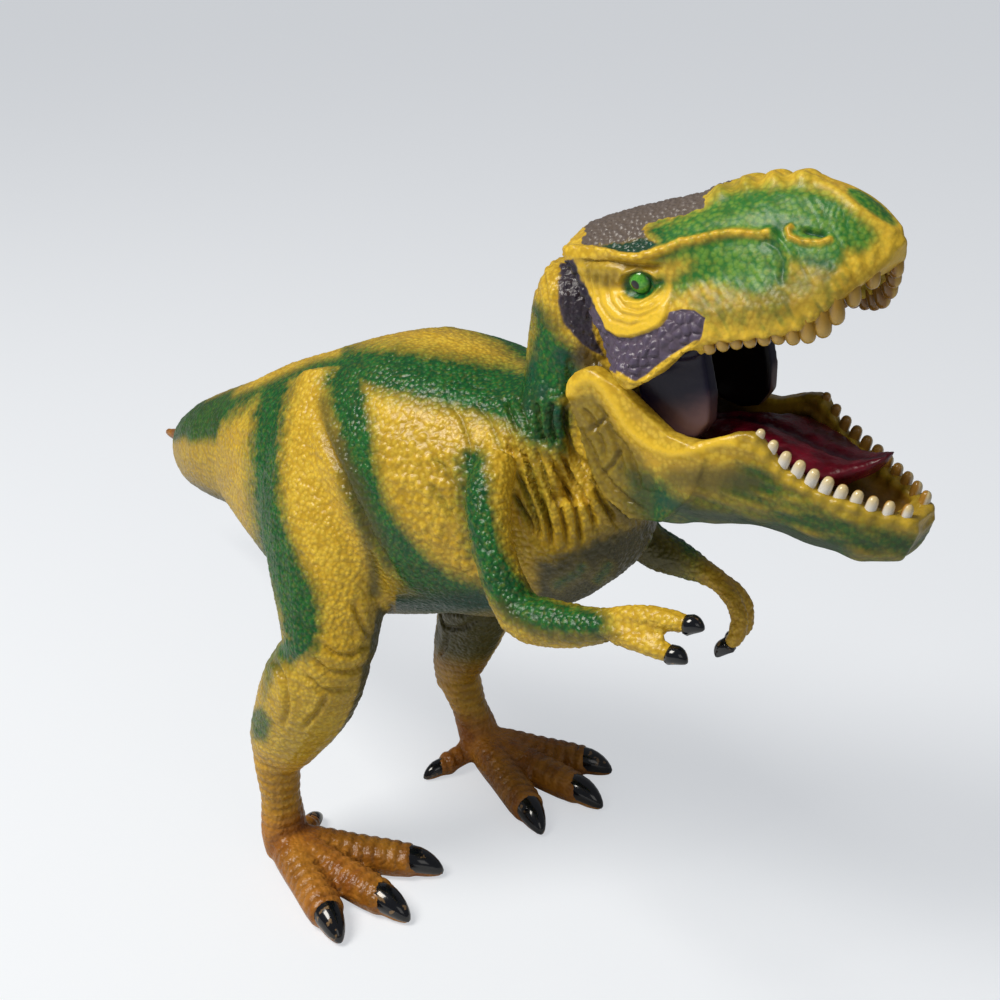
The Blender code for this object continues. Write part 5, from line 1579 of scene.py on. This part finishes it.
tongue = remeshed("tongue_skin", node_copy(("tongue",), 0.0), TONGUE_VOXEL)
edges = mesh_edges(tongue.data)
points = relaxed(mesh_points(tongue.data), edges, 8)
places = pitched(points, JAW_PITCH)
places[:, 1] *= 1 + TONGUE_WIDER * step(places[:, 0], 14, 26) * (1 - step(places[:, 0], 34, 46))
places[:, 2] += TONGUE_CURL * step(places[:, 0], 36, 48) ** 2
points = unpitched(places, JAW_PITCH)
set_points(tongue.data, points)
normals = mesh_normals(tongue.data)
places = pitched(points, JAW_PITCH)
top = step(normals @ pitched_axes(JAW_PITCH)[1], 0.1, 0.6)
groove = np.exp(-((places[:, 1] / 1.3) ** 2)) * top * step(places[:, 0], 12, 18)
bent = np.stack((places[:, 0] + 0.25 * np.abs(places[:, 1]), places[:, 1]), axis=1)
ripples = wrinkles(bent, (1, 0), 4.6, 0.35 * noise(points, 5.0, 71))
move = -0.5 * groove + 0.2 * top * (ripples - 0.6) + 0.22 * noise(points, 1.6, 72)
set_points(tongue.data, points + normals * move[:, None])
dressed(tongue, {"groove": groove}, tongue_finish)
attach(tongue, "jaw")
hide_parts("tongue")


# Claws
# Blunt horn-shaped claws moulded with each toe and finger and painted glossy black.

CLAW_SHARES = ((-0.22, 0.455), (0.0, 0.50), (0.2, 0.48), (0.4, 0.43), (0.6, 0.36), (0.78, 0.27), (0.92, 0.17),
               (1.0, 0.07))
CLAW_SIDES = 16
CLAW_LENGTH = 6.9
CLAW_THICKNESS = 5.9
CLAW_HEIGHTS = (3.4, 1.1)
CLAW_BOW = 0.5
FINGER_CLAW_BOW = 0.35
HALLUX_CLAW_SHARE = 0.62
# Each finger claw: where it starts and ends, and how thick it is
FINGER_CLAWS = {
    "right_hand": (
        ((99.1, -36.1, 84.0), (101.6, -35.9, 84.1), 3.3),
        ((97.5, -37.9, 79.2), (100.1, -37.7, 78.7), 3.3),
    ),
    "left_hand": (
        ((80.5, 10.9, 54.2), (78.6, 10.1, 51.6), 3.3),
        ((79.5, 15.9, 53.8), (77.9, 15.5, 51.2), 3.3),
    ),
}

claw_gloss, _, given = node_group("claw gloss", (("Color", "Color"), ("Normal", "Vector")))
tree = claw_gloss
place = made(tree, "TexCoord").outputs["Object"]
chips = clouds(tree, place, 520.0)
shade = mixed(tree, remapped(tree, chips, 0.63, 0.70), colour_of(12, 14, 20), colour_of(126, 100, 68))
tree.links.new(shade, given.inputs["Color"])
bumped(tree, given, chips, 0.0001, 0.4)
claw_finish = finish("claw_gloss", (claw_gloss,), Roughness=0.16, Coat_Weight=0.5, Coat_Roughness=0.06)


def claw_set(name, claws):
    """Claws as one piece. Each claw is a start, a tip, how far its middle bows up, and its thickness."""
    places, faces = [], []
    for start, tip, bow, thick in claws:
        start, tip = np.array(start, float), np.array(tip, float)
        run = tip - start
        ahead = run / np.linalg.norm(run)
        side = np.cross((0, 0, 1.0), ahead)
        if np.linalg.norm(side) < 0.3:
            side = np.cross((0, 1.0, 0), ahead)
        side /= np.linalg.norm(side)
        upright = np.cross(ahead, side)
        first = len(places)
        for along, half in CLAW_SHARES:
            middle = start + run * along + upright * bow * 4 * max(along, 0) * (1 - along)
            for k in range(CLAW_SIDES):
                angle = 2 * math.pi * k / CLAW_SIDES
                place = middle + half * thick * (side * math.cos(angle) + upright * math.sin(angle))
                place[2] = max(place[2], 0.02)
                places.append(place)
        faces += tube_faces(first, len(CLAW_SHARES), CLAW_SIDES)
    piece = new_piece(name, places, faces, claw_finish, "figure")
    outwards = bmesh.new()
    outwards.from_mesh(piece.data)
    bmesh.ops.recalc_face_normals(outwards, faces=outwards.faces)
    outwards.to_mesh(piece.data)
    outwards.free()


for name, (root, side) in LEG_PARTS.items():
    claws = []
    for turn, length in zip((*TOE_TURNS, HALLUX_TURN), (*TOE_LENGTHS, HALLUX_LENGTH)):
        share = HALLUX_CLAW_SHARE if turn == HALLUX_TURN else 1.0
        heading = math.radians(turn) * side
        ahead = np.array((math.cos(heading), math.sin(heading), 0))
        start = (*root, CLAW_HEIGHTS[0] * share) + ahead * (length - CLAW_LENGTH * share)
        tip = (*root, CLAW_HEIGHTS[1] * share) + ahead * (length + 0.1)
        claws.append((start, tip, CLAW_BOW * share, CLAW_THICKNESS * share))
    claw_set(name.replace("leg", "foot") + "_claws", claws)
for name, fingers in FINGER_CLAWS.items():
    claws = [(start, tip, FINGER_CLAW_BOW, thick) for start, tip, thick in fingers]
    claw_set(name + "_claws", claws)


# Hinge pin
# A turned steel pin through the back of the head. Only its CAD solid is needed, with a better finish.

turned_steel, _, given = node_group("turned steel", (("Roughness", "Float"),))
tree = turned_steel
place = made(tree, "TexCoord").outputs["Object"]
marks = clouds(tree, place, 2500.0)
tree.links.new(remapped(tree, marks, 0.3, 0.7, 0.18, 0.34), given.inputs["Roughness"])
steel = finish("turned_steel", (turned_steel,), Metallic=1.0, Base_Color=colour_of(190, 190, 194))
frame["nodes"]["jaw_hinge_pin"].material_slots[0].material = steel

bpy.data.objects.remove(skin)
